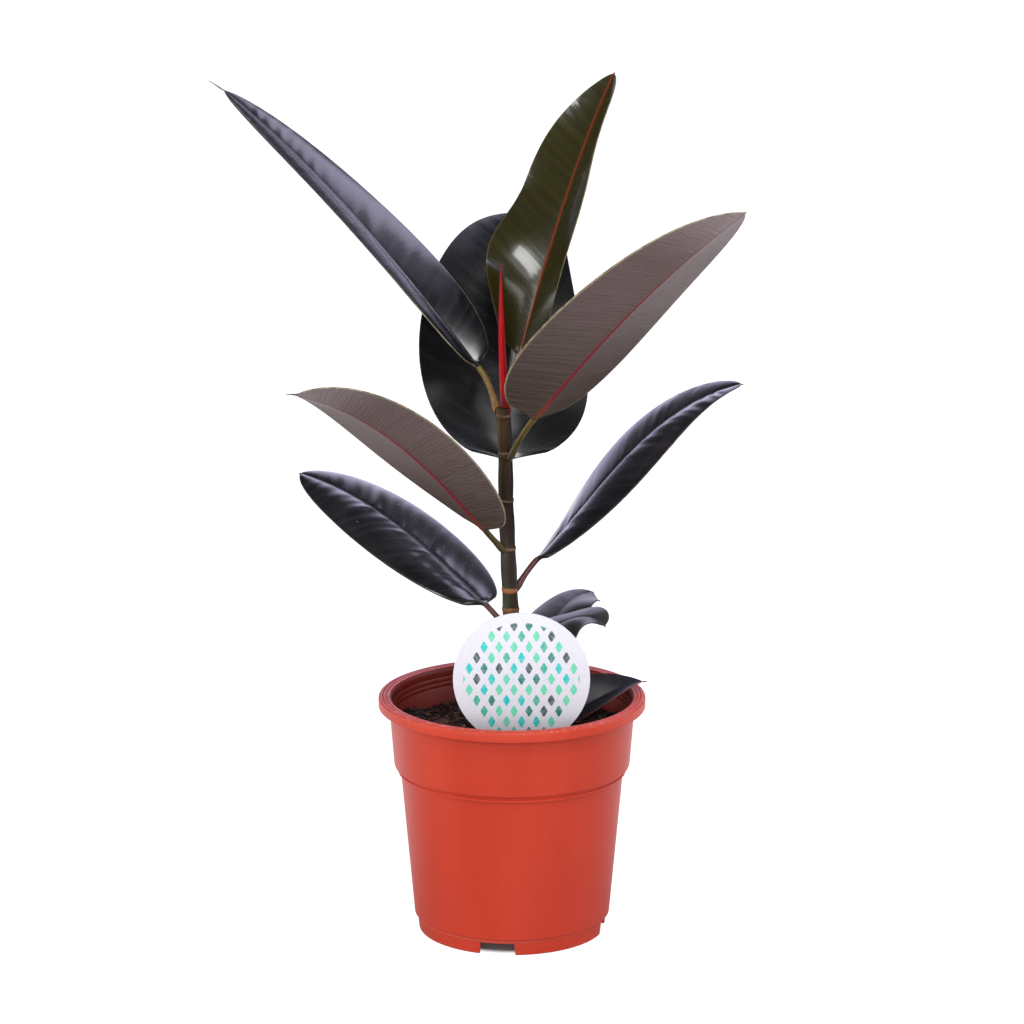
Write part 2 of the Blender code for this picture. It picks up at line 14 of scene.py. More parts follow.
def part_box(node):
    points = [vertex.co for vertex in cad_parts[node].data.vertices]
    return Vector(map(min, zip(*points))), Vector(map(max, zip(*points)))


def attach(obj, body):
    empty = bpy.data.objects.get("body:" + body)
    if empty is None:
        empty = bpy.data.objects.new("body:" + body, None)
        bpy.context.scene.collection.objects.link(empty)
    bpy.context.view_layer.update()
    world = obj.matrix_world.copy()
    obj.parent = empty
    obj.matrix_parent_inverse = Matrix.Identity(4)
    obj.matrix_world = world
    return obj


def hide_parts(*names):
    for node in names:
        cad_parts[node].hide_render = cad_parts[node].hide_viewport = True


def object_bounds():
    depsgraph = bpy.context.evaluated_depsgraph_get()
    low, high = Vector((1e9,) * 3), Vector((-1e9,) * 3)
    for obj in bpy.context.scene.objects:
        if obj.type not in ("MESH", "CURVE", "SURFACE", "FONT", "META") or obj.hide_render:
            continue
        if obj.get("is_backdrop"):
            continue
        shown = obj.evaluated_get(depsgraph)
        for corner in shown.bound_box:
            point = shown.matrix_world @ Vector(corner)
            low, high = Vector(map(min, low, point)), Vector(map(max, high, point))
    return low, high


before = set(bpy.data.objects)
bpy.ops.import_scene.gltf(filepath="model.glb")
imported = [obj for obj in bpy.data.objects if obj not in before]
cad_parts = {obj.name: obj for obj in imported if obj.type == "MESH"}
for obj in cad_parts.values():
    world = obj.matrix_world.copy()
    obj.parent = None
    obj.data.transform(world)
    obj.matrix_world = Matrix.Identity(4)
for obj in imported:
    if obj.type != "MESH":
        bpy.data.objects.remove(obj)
cad_low, cad_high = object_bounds()


# ------------------------ nursery pot
# A nominal 12 cm pot, injection moulded in one piece from terracotta-coloured polypropylene:
# a tapered body, a shouldered collar, a rolled rim, and a foot ring with four drainage notches.

MM = 0.001
pot_low, pot_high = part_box("pot")
POT_AXIS = Vector(((pot_low.x + pot_high.x) / 2, (pot_low.y + pot_high.y) / 2, 0))
POT_HEIGHT = pot_high.z
POT_SIDES = 160
# Outline of the wall from the middle of the floor, up the inside, over the rim and down the
# outside: radius, height and fillet in millimetres.
POT_OUTLINE = (
    (5, 7.2, 0), (20, 7.2, 0), (42.9, 7.2, 2), (48.6, 74.6, 2), (51.8, 78.4, 2), (53.2, 99.6, 0),
    (53.45, 100.1, 0), (53.3, 100.6, 0), (53.4, 101.8, 0), (53.65, 102.3, 0), (53.5, 102.8, 0),
    (53.6, 104.2, 0), (53.85, 104.7, 0), (53.75, 105.2, 0), (53.95, 107.6, 0.4),
    (54.9, 108.8, 0.35), (56.1, 109, 0.2), (56.4, 108.7, 0), (56.8, 109, 0), (57.7, 109, 0),
    (58, 108.75, 0), (58.3, 109, 0), (60, 109, 0.9), (60, 104.5, 0.5), (59.2, 104, 0.3),
    (58.7, 104.4, 0), (58.6, 107.5, 0.4),
    (55.8, 107.5, 0.4), (55.15, 104, 1), (53.05, 77, 1.6), (51, 76.2, 0.3), (50.9, 75.5, 0.1),
    (51.5, 75.2, 0.25), (51.4, 74.2, 0.3), (50.1, 73.7, 0.4), (44.1, 7.9, 0.4), (43.6, 7.4, 0.2),
    (42.3, 7.3, 0.1), (42.7, 6.2, 0.3), (42.1, 0.1, 0.7), (40.5, 0.1, 0.5), (40.4, 5.9, 0.4),
    (20, 6, 0), (5, 6, 0),
)
FILLET_STEPS = 4
NOTCHES = 4
FIRST_NOTCH_DEG = -99
NOTCH_CIRCLE = 42 * MM
NOTCH_SIZE = (12 * MM, 13 * MM, 7.2 * MM)       # outwards, across and upwards
NOTCH_MIDDLE = 2.2 * MM
NOTCH_SPLAY = 3.4 * MM                          # added to its width at the ground
NOTCH_TAPER = 2.4 * MM                          # taken from its width at the top
FLOOR_MIDDLE = 6.6 * MM
DRAIN_CIRCLE = 31 * MM
DRAIN_RADIUS = 4 * MM


def rounded(corners):
    """Outline through corners (radius, height, fillet), each fillet replaced by an arc."""
    points = []
    for index, (radius, height, fillet) in enumerate(corners):
        here = Vector((radius, height))
        if fillet == 0:
            points.append(here)
            continue
        back = (Vector(corners[index - 1][:2]) - here).normalized()
        ahead = (Vector(corners[index + 1][:2]) - here).normalized()
        half = back.angle(ahead) / 2
        centre = here + (back + ahead).normalized() * fillet / math.sin(half)
        start = here + back * fillet / math.tan(half) - centre
        end = here + ahead * fillet / math.tan(half) - centre
        turn = start.angle_signed(end)
        for step in range(FILLET_STEPS + 1):
            points.append(centre + Matrix.Rotation(-turn * step / FILLET_STEPS, 2) @ start)
    return points


def let_go():
    """Nothing selected, in object mode."""
    if bpy.context.mode != "OBJECT":
        bpy.ops.object.mode_set(mode="OBJECT")
    bpy.ops.object.select_all(action="DESELECT")


def take(*pieces):
    let_go()
    for piece in pieces:
        piece.select_set(True)
    bpy.context.view_layer.objects.active = pieces[0]


def added(primitive, **measures):
    """A new simple shape, its place, turn and size taken up by its mesh."""
    let_go()
    primitive(**measures)
    bpy.ops.object.transform_apply()
    return bpy.context.object


def edit_all(piece):
    take(piece)
    bpy.ops.object.mode_set(mode="EDIT")
    bpy.ops.mesh.select_all(action="SELECT")


def drawn_up(name, rings, sides):
    """A circle drawn on from ring to ring, (centre, radius), by extruding and resizing its edge."""
    (centre, radius), *rest = rings
    piece = added(bpy.ops.mesh.primitive_circle_add, vertices=sides, radius=radius, location=centre)
    piece.name = name
    edit_all(piece)
    for following, wider in rest:
        bpy.ops.mesh.extrude_region_move(
            TRANSFORM_OT_translate={"value": tuple(following - centre)})
        share = wider / radius
        bpy.ops.transform.resize(value=(share, share, 1), center_override=tuple(following))
        centre, radius = following, wider
    let_go()
    return piece


def close_ends(piece):
    """Both open ends filled, doubles merged and faces turned outwards."""
    edit_all(piece)
    bpy.ops.mesh.remove_doubles(threshold=0.01 * MM)
    bpy.ops.mesh.select_all(action="DESELECT")
    bpy.ops.mesh.select_non_manifold(extend=False)
    bpy.ops.mesh.edge_face_add()
    bpy.ops.mesh.select_all(action="SELECT")
    bpy.ops.mesh.normals_make_consistent(inside=False)
    let_go()
    return piece


def smoothed(piece, angle_deg):
    take(piece)
    bpy.ops.object.shade_smooth_by_angle(angle=math.radians(angle_deg))


def combined(piece, other, operation="DIFFERENCE"):
    """The other shape cut out of the piece, or joined to it, and then removed."""
    boolean = piece.modifiers.new("combined", "BOOLEAN")
    boolean.operation = operation
    boolean.solver = "EXACT"
    boolean.object = other
    take(piece)
    bpy.ops.object.modifier_apply(modifier="combined")
    bpy.data.objects.remove(other, do_unlink=True)


def feed(source, socket):
    socket.id_data.links.new(source, socket)


def node(tree, kind, *fed, out=0, **named):
    """A node of a material. Names with a capital are its sockets, the others its settings."""
    placed = tree.nodes.new("ShaderNode" + kind)
    for key, value in named.items():
        if key[0].islower():
            setattr(placed, key, value)
    feeds = list(zip(placed.inputs, fed))
    feeds += [(placed.inputs[key], value) for key, value in named.items() if key[0].isupper()]
    for socket, value in feeds:
        if isinstance(value, bpy.types.NodeSocket):
            feed(value, socket)
        elif value is not None:
            socket.default_value = value
    return placed.outputs[out]


def maths(operation, first, *others):
    return node(first.id_data, "Math", first, *others, operation=operation)


def times(first, second):
    return maths("MULTIPLY", first, second)


def part_of(vector, axis):
    return node(vector.id_data, "SeparateXYZ", vector, out=axis)


def between(value, low, high, start=0.0, end=1.0):
    """start below low, end above high, and a smooth change between."""
    return node(value.id_data, "MapRange", value, low, high, start, end,
                interpolation_type="SMOOTHSTEP")


def blended(share, first, second):
    colours = [(*colour, 1) if isinstance(colour, tuple) else colour for colour in (first, second)]
    return node(share.id_data, "MixRGB", share, *colours)


def tinted(colour, tint, value, low, high, start=0.0, end=1.0):
    """The tint laid over a colour, by as much as between() gives for the value."""
    return blended(between(value, low, high, start, end), colour, tint)


def ramp(value, *stops, interpolation="LINEAR"):
    """A colour for each value, through stops of (place, colour)."""
    colours = node(value.id_data, "ValToRGB", value)
    scale = colours.node.color_ramp
    scale.interpolation = interpolation
    for end, (place, colour) in zip(scale.elements, (stops[0], stops[-1])):
        end.position, end.color = place, (*colour, 1)
    for place, colour in stops[1:-1]:
        scale.elements.new(place).color = (*colour, 1)
    return colours


def finish(name, roughness, specular):
    """A new material, with its node tree and its shader's sockets."""
    made = bpy.data.materials.new(name)
    made.use_nodes = True
    shader = made.node_tree.nodes["Principled BSDF"].inputs
    shader["Roughness"].default_value = roughness
    shader["Specular IOR Level"].default_value = specular
    return made, made.node_tree, shader


def place_of(tree, upwards=1):
    """Object coordinates about the pot's axis. A small upwards draws a pattern out in height."""
    stretch = (1, 1, upwards)
    shift = tuple(-along * part for along, part in zip(POT_AXIS, stretch))
    return node(tree, "Mapping", node(tree, "TexCoord", out=3), shift, (0, 0, 0), stretch)


def grain(vector, scale, detail=3.0, roughness=0.5):
    return node(vector.id_data, "TexNoise", Vector=vector, Scale=scale, Detail=detail,
                Roughness=roughness)


def specks(place, scale, rarity, reach, strength):
    """Round specks in the few cells of a pattern whose own number lies above the rarity."""
    cells = node(place.id_data, "TexVoronoi", Vector=place, Scale=scale)
    number = node(place.id_data, "SeparateColor", cells.node.outputs[1])
    return times(between(number, *rarity), between(cells, *reach, strength, 0))


def relief(height, distance, strength=1.0, under=None):
    return node(height.id_data, "Bump", Strength=strength, Distance=distance, Height=height,
                Normal=under)


TERRACOTTA = (0.60, 0.043, 0.014)
LIGHT_TERRACOTTA = (0.66, 0.054, 0.020)
DULL_TERRACOTTA = (0.57, 0.042, 0.018)
SCUFFED = (0.72, 0.27, 0.2)
SPECKLED = (0.75, 0.35, 0.28)
INNER_RED = (0.12, 0.007, 0.0035)


def pot_plastic():
    """Moulded plastic with a faint flow pattern, a fine skin, pale scuffs on what stands out,
    painted shade inside.
    """
    made, tree, shader = finish("terracotta_plastic", 0.44, 0.42)
    place = place_of(tree)
    height = part_of(place, 2)
    flow = grain(place_of(tree, 0.22), 38, 4, 0.55)
    cloud = grain(place, 14, 2)
    red = blended(between(flow, 0.3, 0.7), TERRACOTTA, LIGHT_TERRACOTTA)
    red = tinted(red, DULL_TERRACOTTA, cloud, 0.35, 0.7, 0, 0.5)
    worn = between(grain(place_of(tree, 2.4), 420, 3, 0.7), 0.52, 0.66, 0, 0.5)
    rim_band = between(height, POT_HEIGHT - 1.3 * MM, POT_HEIGHT - 0.2 * MM)
    foot = between(height, 0.4 * MM, 2.2 * MM, 1, 0)
    red = blended(times(maths("MAXIMUM", rim_band, foot), worn), red, SCUFFED)
    red = blended(specks(place, 115, (0.93, 0.95), (0.03, 0.075), 0.7), red, SPECKLED)
    # Painted shade: the inner wall, facing the axis above about 60 mm, is darkened towards a deep
    # red.
    outwards = node(tree, "VectorMath", place, (1, 1, 0), operation="MULTIPLY")
    facing = node(tree, "VectorMath", outwards, node(tree, "NewGeometry", out=1),
                  operation="DOT_PRODUCT", out=1)
    inner_wall = times(between(facing, -30 * MM, -40 * MM, 0, 0.9),
                       between(height, 60 * MM, 70 * MM))
    feed(blended(inner_wall, red, INNER_RED), shader["Base Color"])
    feed(between(flow, 0.2, 0.8, 0.38, 0.52), shader["Roughness"])
    coarse = relief(cloud, 0.35 * MM, 0.35)
    drag = relief(grain(place_of(tree, 0.03), 260, 2, 0.5), 0.06 * MM, 0.4, coarse)
    feed(relief(grain(place, 900, 2, 0.6), 0.05 * MM, 0.35, drag), shader["Normal"])
    return made


pot_rings = [(POT_AXIS + Vector((0, 0, point[1] * MM)), point[0] * MM)
             for point in rounded(POT_OUTLINE)]
pot = drawn_up("nursery_pot", pot_rings + pot_rings[:1], POT_SIDES)
close_ends(pot)
# The floor's middle is still open: a flat disc closes it, with the middle drain hole in it.
floor_disc = added(bpy.ops.mesh.primitive_cylinder_add, vertices=48, radius=5.2 * MM,
                   depth=1.2 * MM, location=POT_AXIS + Vector((0, 0, FLOOR_MIDDLE)))
drain_places = [Vector((0, 0, 0))]
for notch in range(NOTCHES):
    turn = math.radians(FIRST_NOTCH_DEG + notch * 360 / NOTCHES)
    outwards = Vector((math.cos(turn), math.sin(turn), 0))
    across = Vector((-outwards.y, outwards.x, 0))
    drain_places.append(outwards * DRAIN_CIRCLE)
    wedge = added(bpy.ops.mesh.primitive_cube_add, size=1, rotation=(0, 0, turn), scale=NOTCH_SIZE,
                  location=POT_AXIS + outwards * NOTCH_CIRCLE + Vector((0, 0, NOTCH_MIDDLE)))
    for vertex in wedge.data.vertices:
        spread = NOTCH_SPLAY if vertex.co.z < NOTCH_MIDDLE else -NOTCH_TAPER
        vertex.co += across * math.copysign(spread / 2, (vertex.co - POT_AXIS).dot(across))
    combined(pot, wedge)
combined(pot, floor_disc, "UNION")
for drain in drain_places:
    combined(pot, added(bpy.ops.mesh.primitive_cylinder_add, vertices=32, radius=DRAIN_RADIUS,
                        depth=5 * MM, location=POT_AXIS + drain + Vector((0, 0, FLOOR_MIDDLE))))
smoothed(pot, 34)
pot.data.materials.clear()
pot.data.materials.append(pot_plastic())
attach(pot, "root")
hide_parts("pot")


# ------------------------ potting mix
# Coarse potting mix of composted bark and peat, filled to 17 mm below the rim: a lumpy bed,
# with crumbs of bark and fibre lying loose on it.

MIX_LEVEL = 92.4 * MM
MIX_EDGE = 52.0 * MM
CRUMBS = 1700
MIDDLE_BARE = 5.5 * MM          # no crumb lies as near to the stem as this
HEAPS = ((-46, 8, 7.5, 8.5), (47, 8, 4.5, 8), (33, 36, 3, 9))   # place, height and reach in mm
draw = random.Random(11)


def mix_height(x, y):
    """Height of the lumpy bed at a place about the pot's axis."""
    place = Vector((x, y, 0)) / (17 * MM)
    broad = 1.3 * noise.noise(place, noise_basis="PERLIN_ORIGINAL")
    lumps = 1.1 * noise.noise(Vector((x, y, 0.3)) / (5 * MM))
    crumbs = 0.5 * noise.noise(Vector((x, y, 0.7)) / (1.9 * MM))
    for heap_x, heap_y, tall, reach in HEAPS:
        away = math.hypot(x / MM - heap_x, y / MM - heap_y)
        broad += tall * math.exp(-(away / reach) ** 2)
    return MIX_LEVEL + (broad + lumps + crumbs) * MM


def mix_finish(name, tones, share):
    """Peat and bark: each crumb its own brown, darkened in its pores as painted shade, with a dull
    grain.
    """
    made, tree, shader = finish(name, 0.85, 0.3)
    place = place_of(tree)
    own = node(tree, "NewGeometry", out=8)
    fine = grain(place, 620, 5, 0.65)
    spread = between(grain(place, 170), 0.3, 0.7, 0, 1 - share)
    steps = [(number / (len(tones) - 1)) ** 0.75 for number in range(len(tones))]
    browns = ramp(maths("ADD", times(own, share), spread), *zip(steps, tones))
    colour = tinted(browns, tones[-2], fine, 0.46, 0.7, 0, 0.35)
    # Painted shade: the hollows of the grain, its lowest spots, are darkened almost to black.
    colour = tinted(colour, PORE_BLACK, fine, 0.32, 0.46, 0.85, 0)
    feed(colour, shader["Base Color"])
    feed(relief(fine, 0.5 * MM, 0.9), shader["Normal"])
    return made


PORE_BLACK = (0.005, 0.003, 0.002)
PEAT = (0.006, 0.003, 0.003)
DARK_BARK = (0.020, 0.009, 0.007)
RED_BARK = (0.065, 0.024, 0.015)
MAUVE_BARK = (0.115, 0.055, 0.038)
TAN_BARK = (0.42, 0.20, 0.095)

mix_rings = [(POT_AXIS + Vector((0, 0, z * MM)), r * MM) for r, z in (
    (2, 7.6), (41, 7.6), (42.6, 10.4), (48.0, 74.4), (50.9, 79.4), (51.9, 91.5))]
mix_rings += [(POT_AXIS + Vector((0, 0, MIX_LEVEL)), MIX_EDGE - step * 0.8 * MM)
              for step in range(64)]
mix = close_ends(drawn_up("potting_mix_bed", mix_rings, 150))
for vertex in mix.data.vertices:
    if vertex.co.z > MIX_LEVEL - 0.1 * MM:
        vertex.co.z = mix_height(vertex.co.x - POT_AXIS.x, vertex.co.y - POT_AXIS.y)
smoothed(mix, 60)
mix.data.materials.clear()
mix.data.materials.append(mix_finish("potting_mix", (PEAT, PEAT, DARK_BARK, RED_BARK), 0.0))
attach(mix, "root")
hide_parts("potting_mix")


def chunk(name, length, width, depth, rough, faces=1):
    """One broken piece of bark: a small sphere pulled out, flattened and knocked about."""
    piece = added(bpy.ops.mesh.primitive_ico_sphere_add, subdivisions=faces, radius=0.5)
    piece.name = name
    for vertex in piece.data.vertices:
        knock = noise.noise(vertex.co * 2.3 + Vector((rough * 7, len(name), 0)))
        vertex.co *= 1 + rough * knock
        vertex.co.x *= length
        vertex.co.y *= width
        vertex.co.z *= depth
    return piece


# Length, width and depth in millimetres, roughness, and how often it comes.
CRUMB_KINDS = {
    "crumb_a": (3.4, 2.2, 1.5, 0.9, 5), "crumb_b": (2.4, 2.0, 1.6, 1.1, 5),
    "crumb_c": (4.6, 1.7, 1.1, 0.8, 3), "crumb_d": (1.7, 1.4, 1.1, 1.0, 6),
    "crumb_e": (5.2, 3.4, 1.7, 0.9, 1.2), "fibre": (6.5, 0.5, 0.4, 0.9, 1),
}
crumb_kinds = [chunk(name, length * MM, width * MM, depth * MM, rough)
               for name, (length, width, depth, rough, _) in CRUMB_KINDS.items()]
crumb_shares = [kind[-1] for kind in CRUMB_KINDS.values()]
crumbs = []
for number in range(CRUMBS):
    kind = draw.choices(crumb_kinds, weights=crumb_shares)[0]
    radius = (MIX_EDGE - 2.2 * MM) * math.sqrt(draw.random())
    turn = draw.uniform(0, math.tau)
    spot = Vector((radius * math.cos(turn), radius * math.sin(turn)))
    if spot.length < MIDDLE_BARE:
        continue
    size = draw.uniform(0.65, 1.25)
    spin = Matrix.Rotation(draw.uniform(0, math.tau), 3, "Z")
    tip = Matrix.Rotation(draw.uniform(-0.8, 0.8), 3, (math.cos(turn), math.sin(turn), 0))
    mesh = kind.data.copy()
    ground = mix_height(spot.x, spot.y) + 0.4 * MM * size
    for vertex in mesh.vertices:
        vertex.co = tip @ spin @ (vertex.co * size) + Vector((spot.x, spot.y, ground)) + POT_AXIS
    crumb = bpy.data.objects.new("crumb", mesh)
    bpy.context.scene.collection.objects.link(crumb)
    crumbs.append(crumb)
for kind in crumb_kinds:
    bpy.data.objects.remove(kind, do_unlink=True)
take(*crumbs)
bpy.ops.object.join()
crumb_bed = bpy.context.object
crumb_bed.name = "mix_crumbs"
crumb_bed.data.materials.append(mix_finish(
    "bark_crumbs", (PEAT, DARK_BARK, DARK_BARK, RED_BARK, RED_BARK, MAUVE_BARK, TAN_BARK), 0.9))
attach(crumb_bed, "root")


# ------------------------ bark chips
# Eight flat chips of pine bark, the largest of the mix, lying loose on its surface.

bark = mix_finish("bark_chips", (DARK_BARK, RED_BARK, MAUVE_BARK, MAUVE_BARK, TAN_BARK), 0.4)
for number in range(1, 9):
    low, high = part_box(f"bark_chip_{number}")
    chip = chunk(f"bark_flake_{number}", 0.98, 0.98, 0.98, 0.42, faces=3)
    spans = Vector((max(v.co[axis] for v in chip.data.vertices)
                    - min(v.co[axis] for v in chip.data.vertices) for axis in range(3)))
    middle = (low + high) / 2
    for vertex in chip.data.vertices:
        layered = round(vertex.co.z * 5) / 5
        vertex.co.z = 0.35 * vertex.co.z + 0.65 * layered
        for axis in range(3):
            vertex.co[axis] = middle[axis] + vertex.co[axis] / spans[axis] * (high - low)[axis]
    smoothed(chip, 28)
    chip.data.materials.append(bark)
    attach(chip, "root")
    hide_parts(f"bark_chip_{number}")


# ------------------------ stem
# The one green stem, ringed at every leaf scar. It grows from the mix, bark-grey and green at its
# foot, purple-brown in the middle and olive at the top.

STEM_AXIS = ((58, 0.6), (93, 0.0), (147, -0.5), (176, -1.8), (199, -2.7), (221, -2.9), (241, -4.0))
STEM_BOTTOM = 58
STEM_APEX = 241
SCARS = (127, 131, 141, 149, 158, 177, 199, 219, 237)
STEM_RADII = (2.2, 3.8, 3.2)    # at the root crown, the level of the mix and the tip
SCAR_SWELL = 0.35
# Height, width and paleness of the corky rings. All but one are broken up.
SCAR_RINGS = ((127, 0.6, 0.5), (149, 1.2, 0.7), (158, 1.5, 1.0), (177, 0.8, 0.7), (199, 0.45, 0.6),
              (220.5, 0.5, 0.8), (238, 0.6, 0.6))
UNBROKEN_RING = 158
STEM_COLOURS = (
    (0.00, (0.040, 0.044, 0.016)), (0.40, (0.052, 0.060, 0.026)), (0.47, (0.055, 0.054, 0.038)),
    (0.58, (0.058, 0.050, 0.040)), (0.70, (0.034, 0.019, 0.014)), (0.82, (0.029, 0.015, 0.007)),
    (0.88, (0.040, 0.023, 0.005)), (1.00, (0.075, 0.037, 0.006)),
)


def stem_lean(height):
    """Sideways place of the stem's axis at a height, in millimetres."""
    return float(np.interp(height, [h for h, _ in STEM_AXIS], [lean for _, lean in STEM_AXIS]))


def stem_radius(height):
    return float(np.interp(height, (STEM_BOTTOM, MIX_LEVEL / MM, STEM_APEX), STEM_RADII))


def stem_skin():
    """Young bark: colours by height, a pale corky ring at each scar, fine lengthwise lines, right
    flank painted shade.
    """
    made, tree, shader = finish("stem_bark", 0.5, 0.22)
    place = place_of(tree)
    height = part_of(place, 2)
    lines = grain(place_of(tree, 0.06), 900, 3, 0.6)
    mottle = grain(place_of(tree, 0.5), 190, 4, 0.6)
    colour = ramp(between(height, 92 * MM, 242 * MM), *STEM_COLOURS)
    colour = tinted(colour, (0.025, 0.018, 0.013), mottle, 0.35, 0.7, 0, 0.5)
    # Painted shade: the flank to the right of the leaning axis is darkened.
    lean = times(maths("SUBTRACT", height, 93 * MM), 0.027)
    shaded = maths("ADD", part_of(place, 0), lean)
    colour = tinted(colour, (0.018, 0.008, 0.006), shaded, -1.6 * MM, 1.6 * MM, 0, 0.75)
    colour = tinted(colour, (0.13, 0.09, 0.05), lines, 0.5, 0.75, 0, 0.3)
    wobble = times(maths("SUBTRACT", grain(place, 150, 2), 0.5), 2.4 * MM)
    bent = maths("ADD", height, wobble)
    broken = between(grain(place, 330, 2), 0.36, 0.56, 0.15, 1)
    rings = None
    for scar, width, pale in SCAR_RINGS:
        far = maths("ABSOLUTE", maths("SUBTRACT", bent, scar * MM))
        ring = between(far, width * 0.5 * MM, width * MM, pale, 0)
        if scar != UNBROKEN_RING:
            ring = times(ring, broken)
        rings = ring if rings is None else maths("MAXIMUM", rings, ring)
    corky = blended(between(height, 150 * MM, 190 * MM), (0.32, 0.115, 0.042), (0.26, 0.15, 0.095))
    feed(blended(rings, colour, corky), shader["Base Color"])
    feed(between(mottle, 0.3, 0.7, 0.36, 0.6), shader["Roughness"])
    raised = relief(rings, 0.25 * MM, 0.5)
    feed(relief(lines, 0.15 * MM, 0.5, raised), shader["Normal"])
    return made


heights = sorted(set(np.linspace(STEM_BOTTOM, STEM_APEX, 92).tolist()
                     + [scar + offset for scar in SCARS for offset in (-1.4, -0.7, 0, 0.5, 1.0)]))
stem_rings = []
for height in heights:
    swell = sum(SCAR_SWELL * math.exp(-((height - scar) / 0.8) ** 2) for scar in SCARS)
    bulge = 0.12 * math.sin(height * 0.31)
    stem_rings.append((POT_AXIS + Vector((stem_lean(height), 0, height)) * MM,
                       (stem_radius(height) + min(swell, SCAR_SWELL) + bulge) * MM))
stem = close_ends(drawn_up("stem_shoot", stem_rings, 40))
smoothed(stem, 50)
stem.data.materials.append(stem_skin())
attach(stem, "root")
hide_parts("stem")


# ------------------------ bud sheath
# The red stipule wrapped round the next leaf: a glossy spear on the stem's tip, drawn to a point.

SHEATH_FULLNESS = (
    (0, 0.9), (0.03, 1.0), (0.1, 1.0), (0.25, 0.95), (0.4, 0.86), (0.55, 0.74), (0.7, 0.58),
    (0.82, 0.42), (0.91, 0.27), (0.97, 0.14), (1, 0.04),
)
SHEATH_FOOT = Vector((-3.1, 0, 241.3))
SHEATH_LENGTH = 65
SHEATH_RADIUS = 1.9


def sheath_skin():
    """Glossy red with fine lengthwise lines, darker at its foot and its tip, its left side darkened
    as painted shade.
    """
    made, tree, shader = finish("red_sheath", 0.32, 0.25)
    place = place_of(tree)
    lines = grain(place_of(tree, 0.05), 1300, 3, 0.6)
    height, sides = part_of(place, 2), part_of(place, 0)
    red = blended(between(lines, 0.4, 0.7), (0.42, 0.003, 0.007), (0.60, 0.006, 0.014))
    # Painted shade: darker down the sheath's left side.
    red = tinted(red, (0.17, 0.002, 0.004), sides, -4.0 * MM, -2.4 * MM, 0, 0.85)
    red = tinted(red, (0.12, 0.008, 0.008), height, 0.252, 0.243, 0, 0.75)
    red = tinted(red, (0.14, 0.005, 0.004), height, 0.280, 0.306, 0, 0.75)
    feed(red, shader["Base Color"])
    feed(relief(lines, 0.1 * MM, 0.4), shader["Normal"])
    return made


sheath_rings = []
for share in np.linspace(0, 1, 44):
    fullness = float(np.interp(share, *zip(*SHEATH_FULLNESS)))
    lean = Vector((-1.8 * share - 0.5 * math.sin(math.pi * share), 0, SHEATH_LENGTH * share)) * MM
    sheath_rings.append((POT_AXIS + SHEATH_FOOT * MM + lean, SHEATH_RADIUS * MM * fullness))
sheath = close_ends(drawn_up("red_bud_sheath", sheath_rings, 28))
smoothed(sheath, 60)
sheath.data.materials.append(sheath_skin())
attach(sheath, "root")
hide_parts("bud_sheath")


# ------------------------ leaves
# Ten thick, leathery leaves. Each is one growth: a round stalk from its scar on the stem, running
# on as the midrib under the blade. Blue-black and waxed above, mauve-brown below.

BROAD_TIP = 0.62
SLENDER_TIP = 0.76
BASE_ROUNDNESS = 0.44
BLADE = 0.6                     # thickness of a blade, mm
KEEL = 1.15                     # how far the midrib stands out under it
STALK_RADIUS = 1.3
STALK_FOOT_RADIUS = 1.8
STALK_BEND = 0.4
THREAD_RADIUS = 0.45
RIB_PLACES = (0.0, 0.45, 0.9, 1.5, 2.4)
BLADE_PLACES = (0.12, 0.25, 0.4, 0.55, 0.7, 0.83, 0.94, 1.0)
STALK_ROWS = 14
BLADE_ROWS = 112
FOOT_SHARES = (0.004, 0.010, 0.018, 0.028, 0.040)   # rows where the round stalk flattens
THREAD_ROWS = 4
GROOVE, GROOVE_WIDTH = 0.18, 1.1    # along the midrib on top
KEEL_WIDTH = 1.25
KEEL_LOSS = 0.72                # share of the keel that is gone at the tip
RIM = 0.16                      # how far the margin's round edge stands out
VEIN_UNIT = 0.01                # a millimetre in the veins map

CREAM = (0.40, 0.33, 0.20)
OLIVE_EDGE = (0.24, 0.20, 0.06)
BROWN_EDGE = (0.045, 0.030, 0.022)
RED_EDGE = (0.17, 0.018, 0.018)
DARK_EDGE = (BROWN_EDGE, BROWN_EDGE)
AMBER = (0.27, 0.12, 0.022)
OLIVE = (0.17, 0.115, 0.016)
DARK_OLIVE = (0.085, 0.062, 0.014)
RED_BROWN = (0.10, 0.024, 0.018)
ORANGE = (0.33, 0.050, 0.008)


def leaf(scar, base, length, width, heading, rise, roll, fold, curl, tip=BROAD_TIP,
         ripple=(0, 0, 1, 0), drip=1, slant=(0.45, 0.45), stalk=(RED_BROWN, RED_BROWN), dust=0.0,
         wave=0.1, arch=(0.5, 0.5), edge=DARK_EDGE, still=0.01):
    """The measurements of one leaf, in millimetres and degrees.

    They are its solid's, but for small changes to the set of leaf_02, leaf_07 and leaf_10. In a
    pair the first is for the right half and the second for the left, and with colours the first is
    for the foot. slant is how far the side veins lean towards the tip, dust the dried water spots,
    wave the height of the swellings between the veins, arch how far the halves bulge upwards, and
    still the share of the length over which a ripple of the blade dies away at the tip.
    """
    return locals()


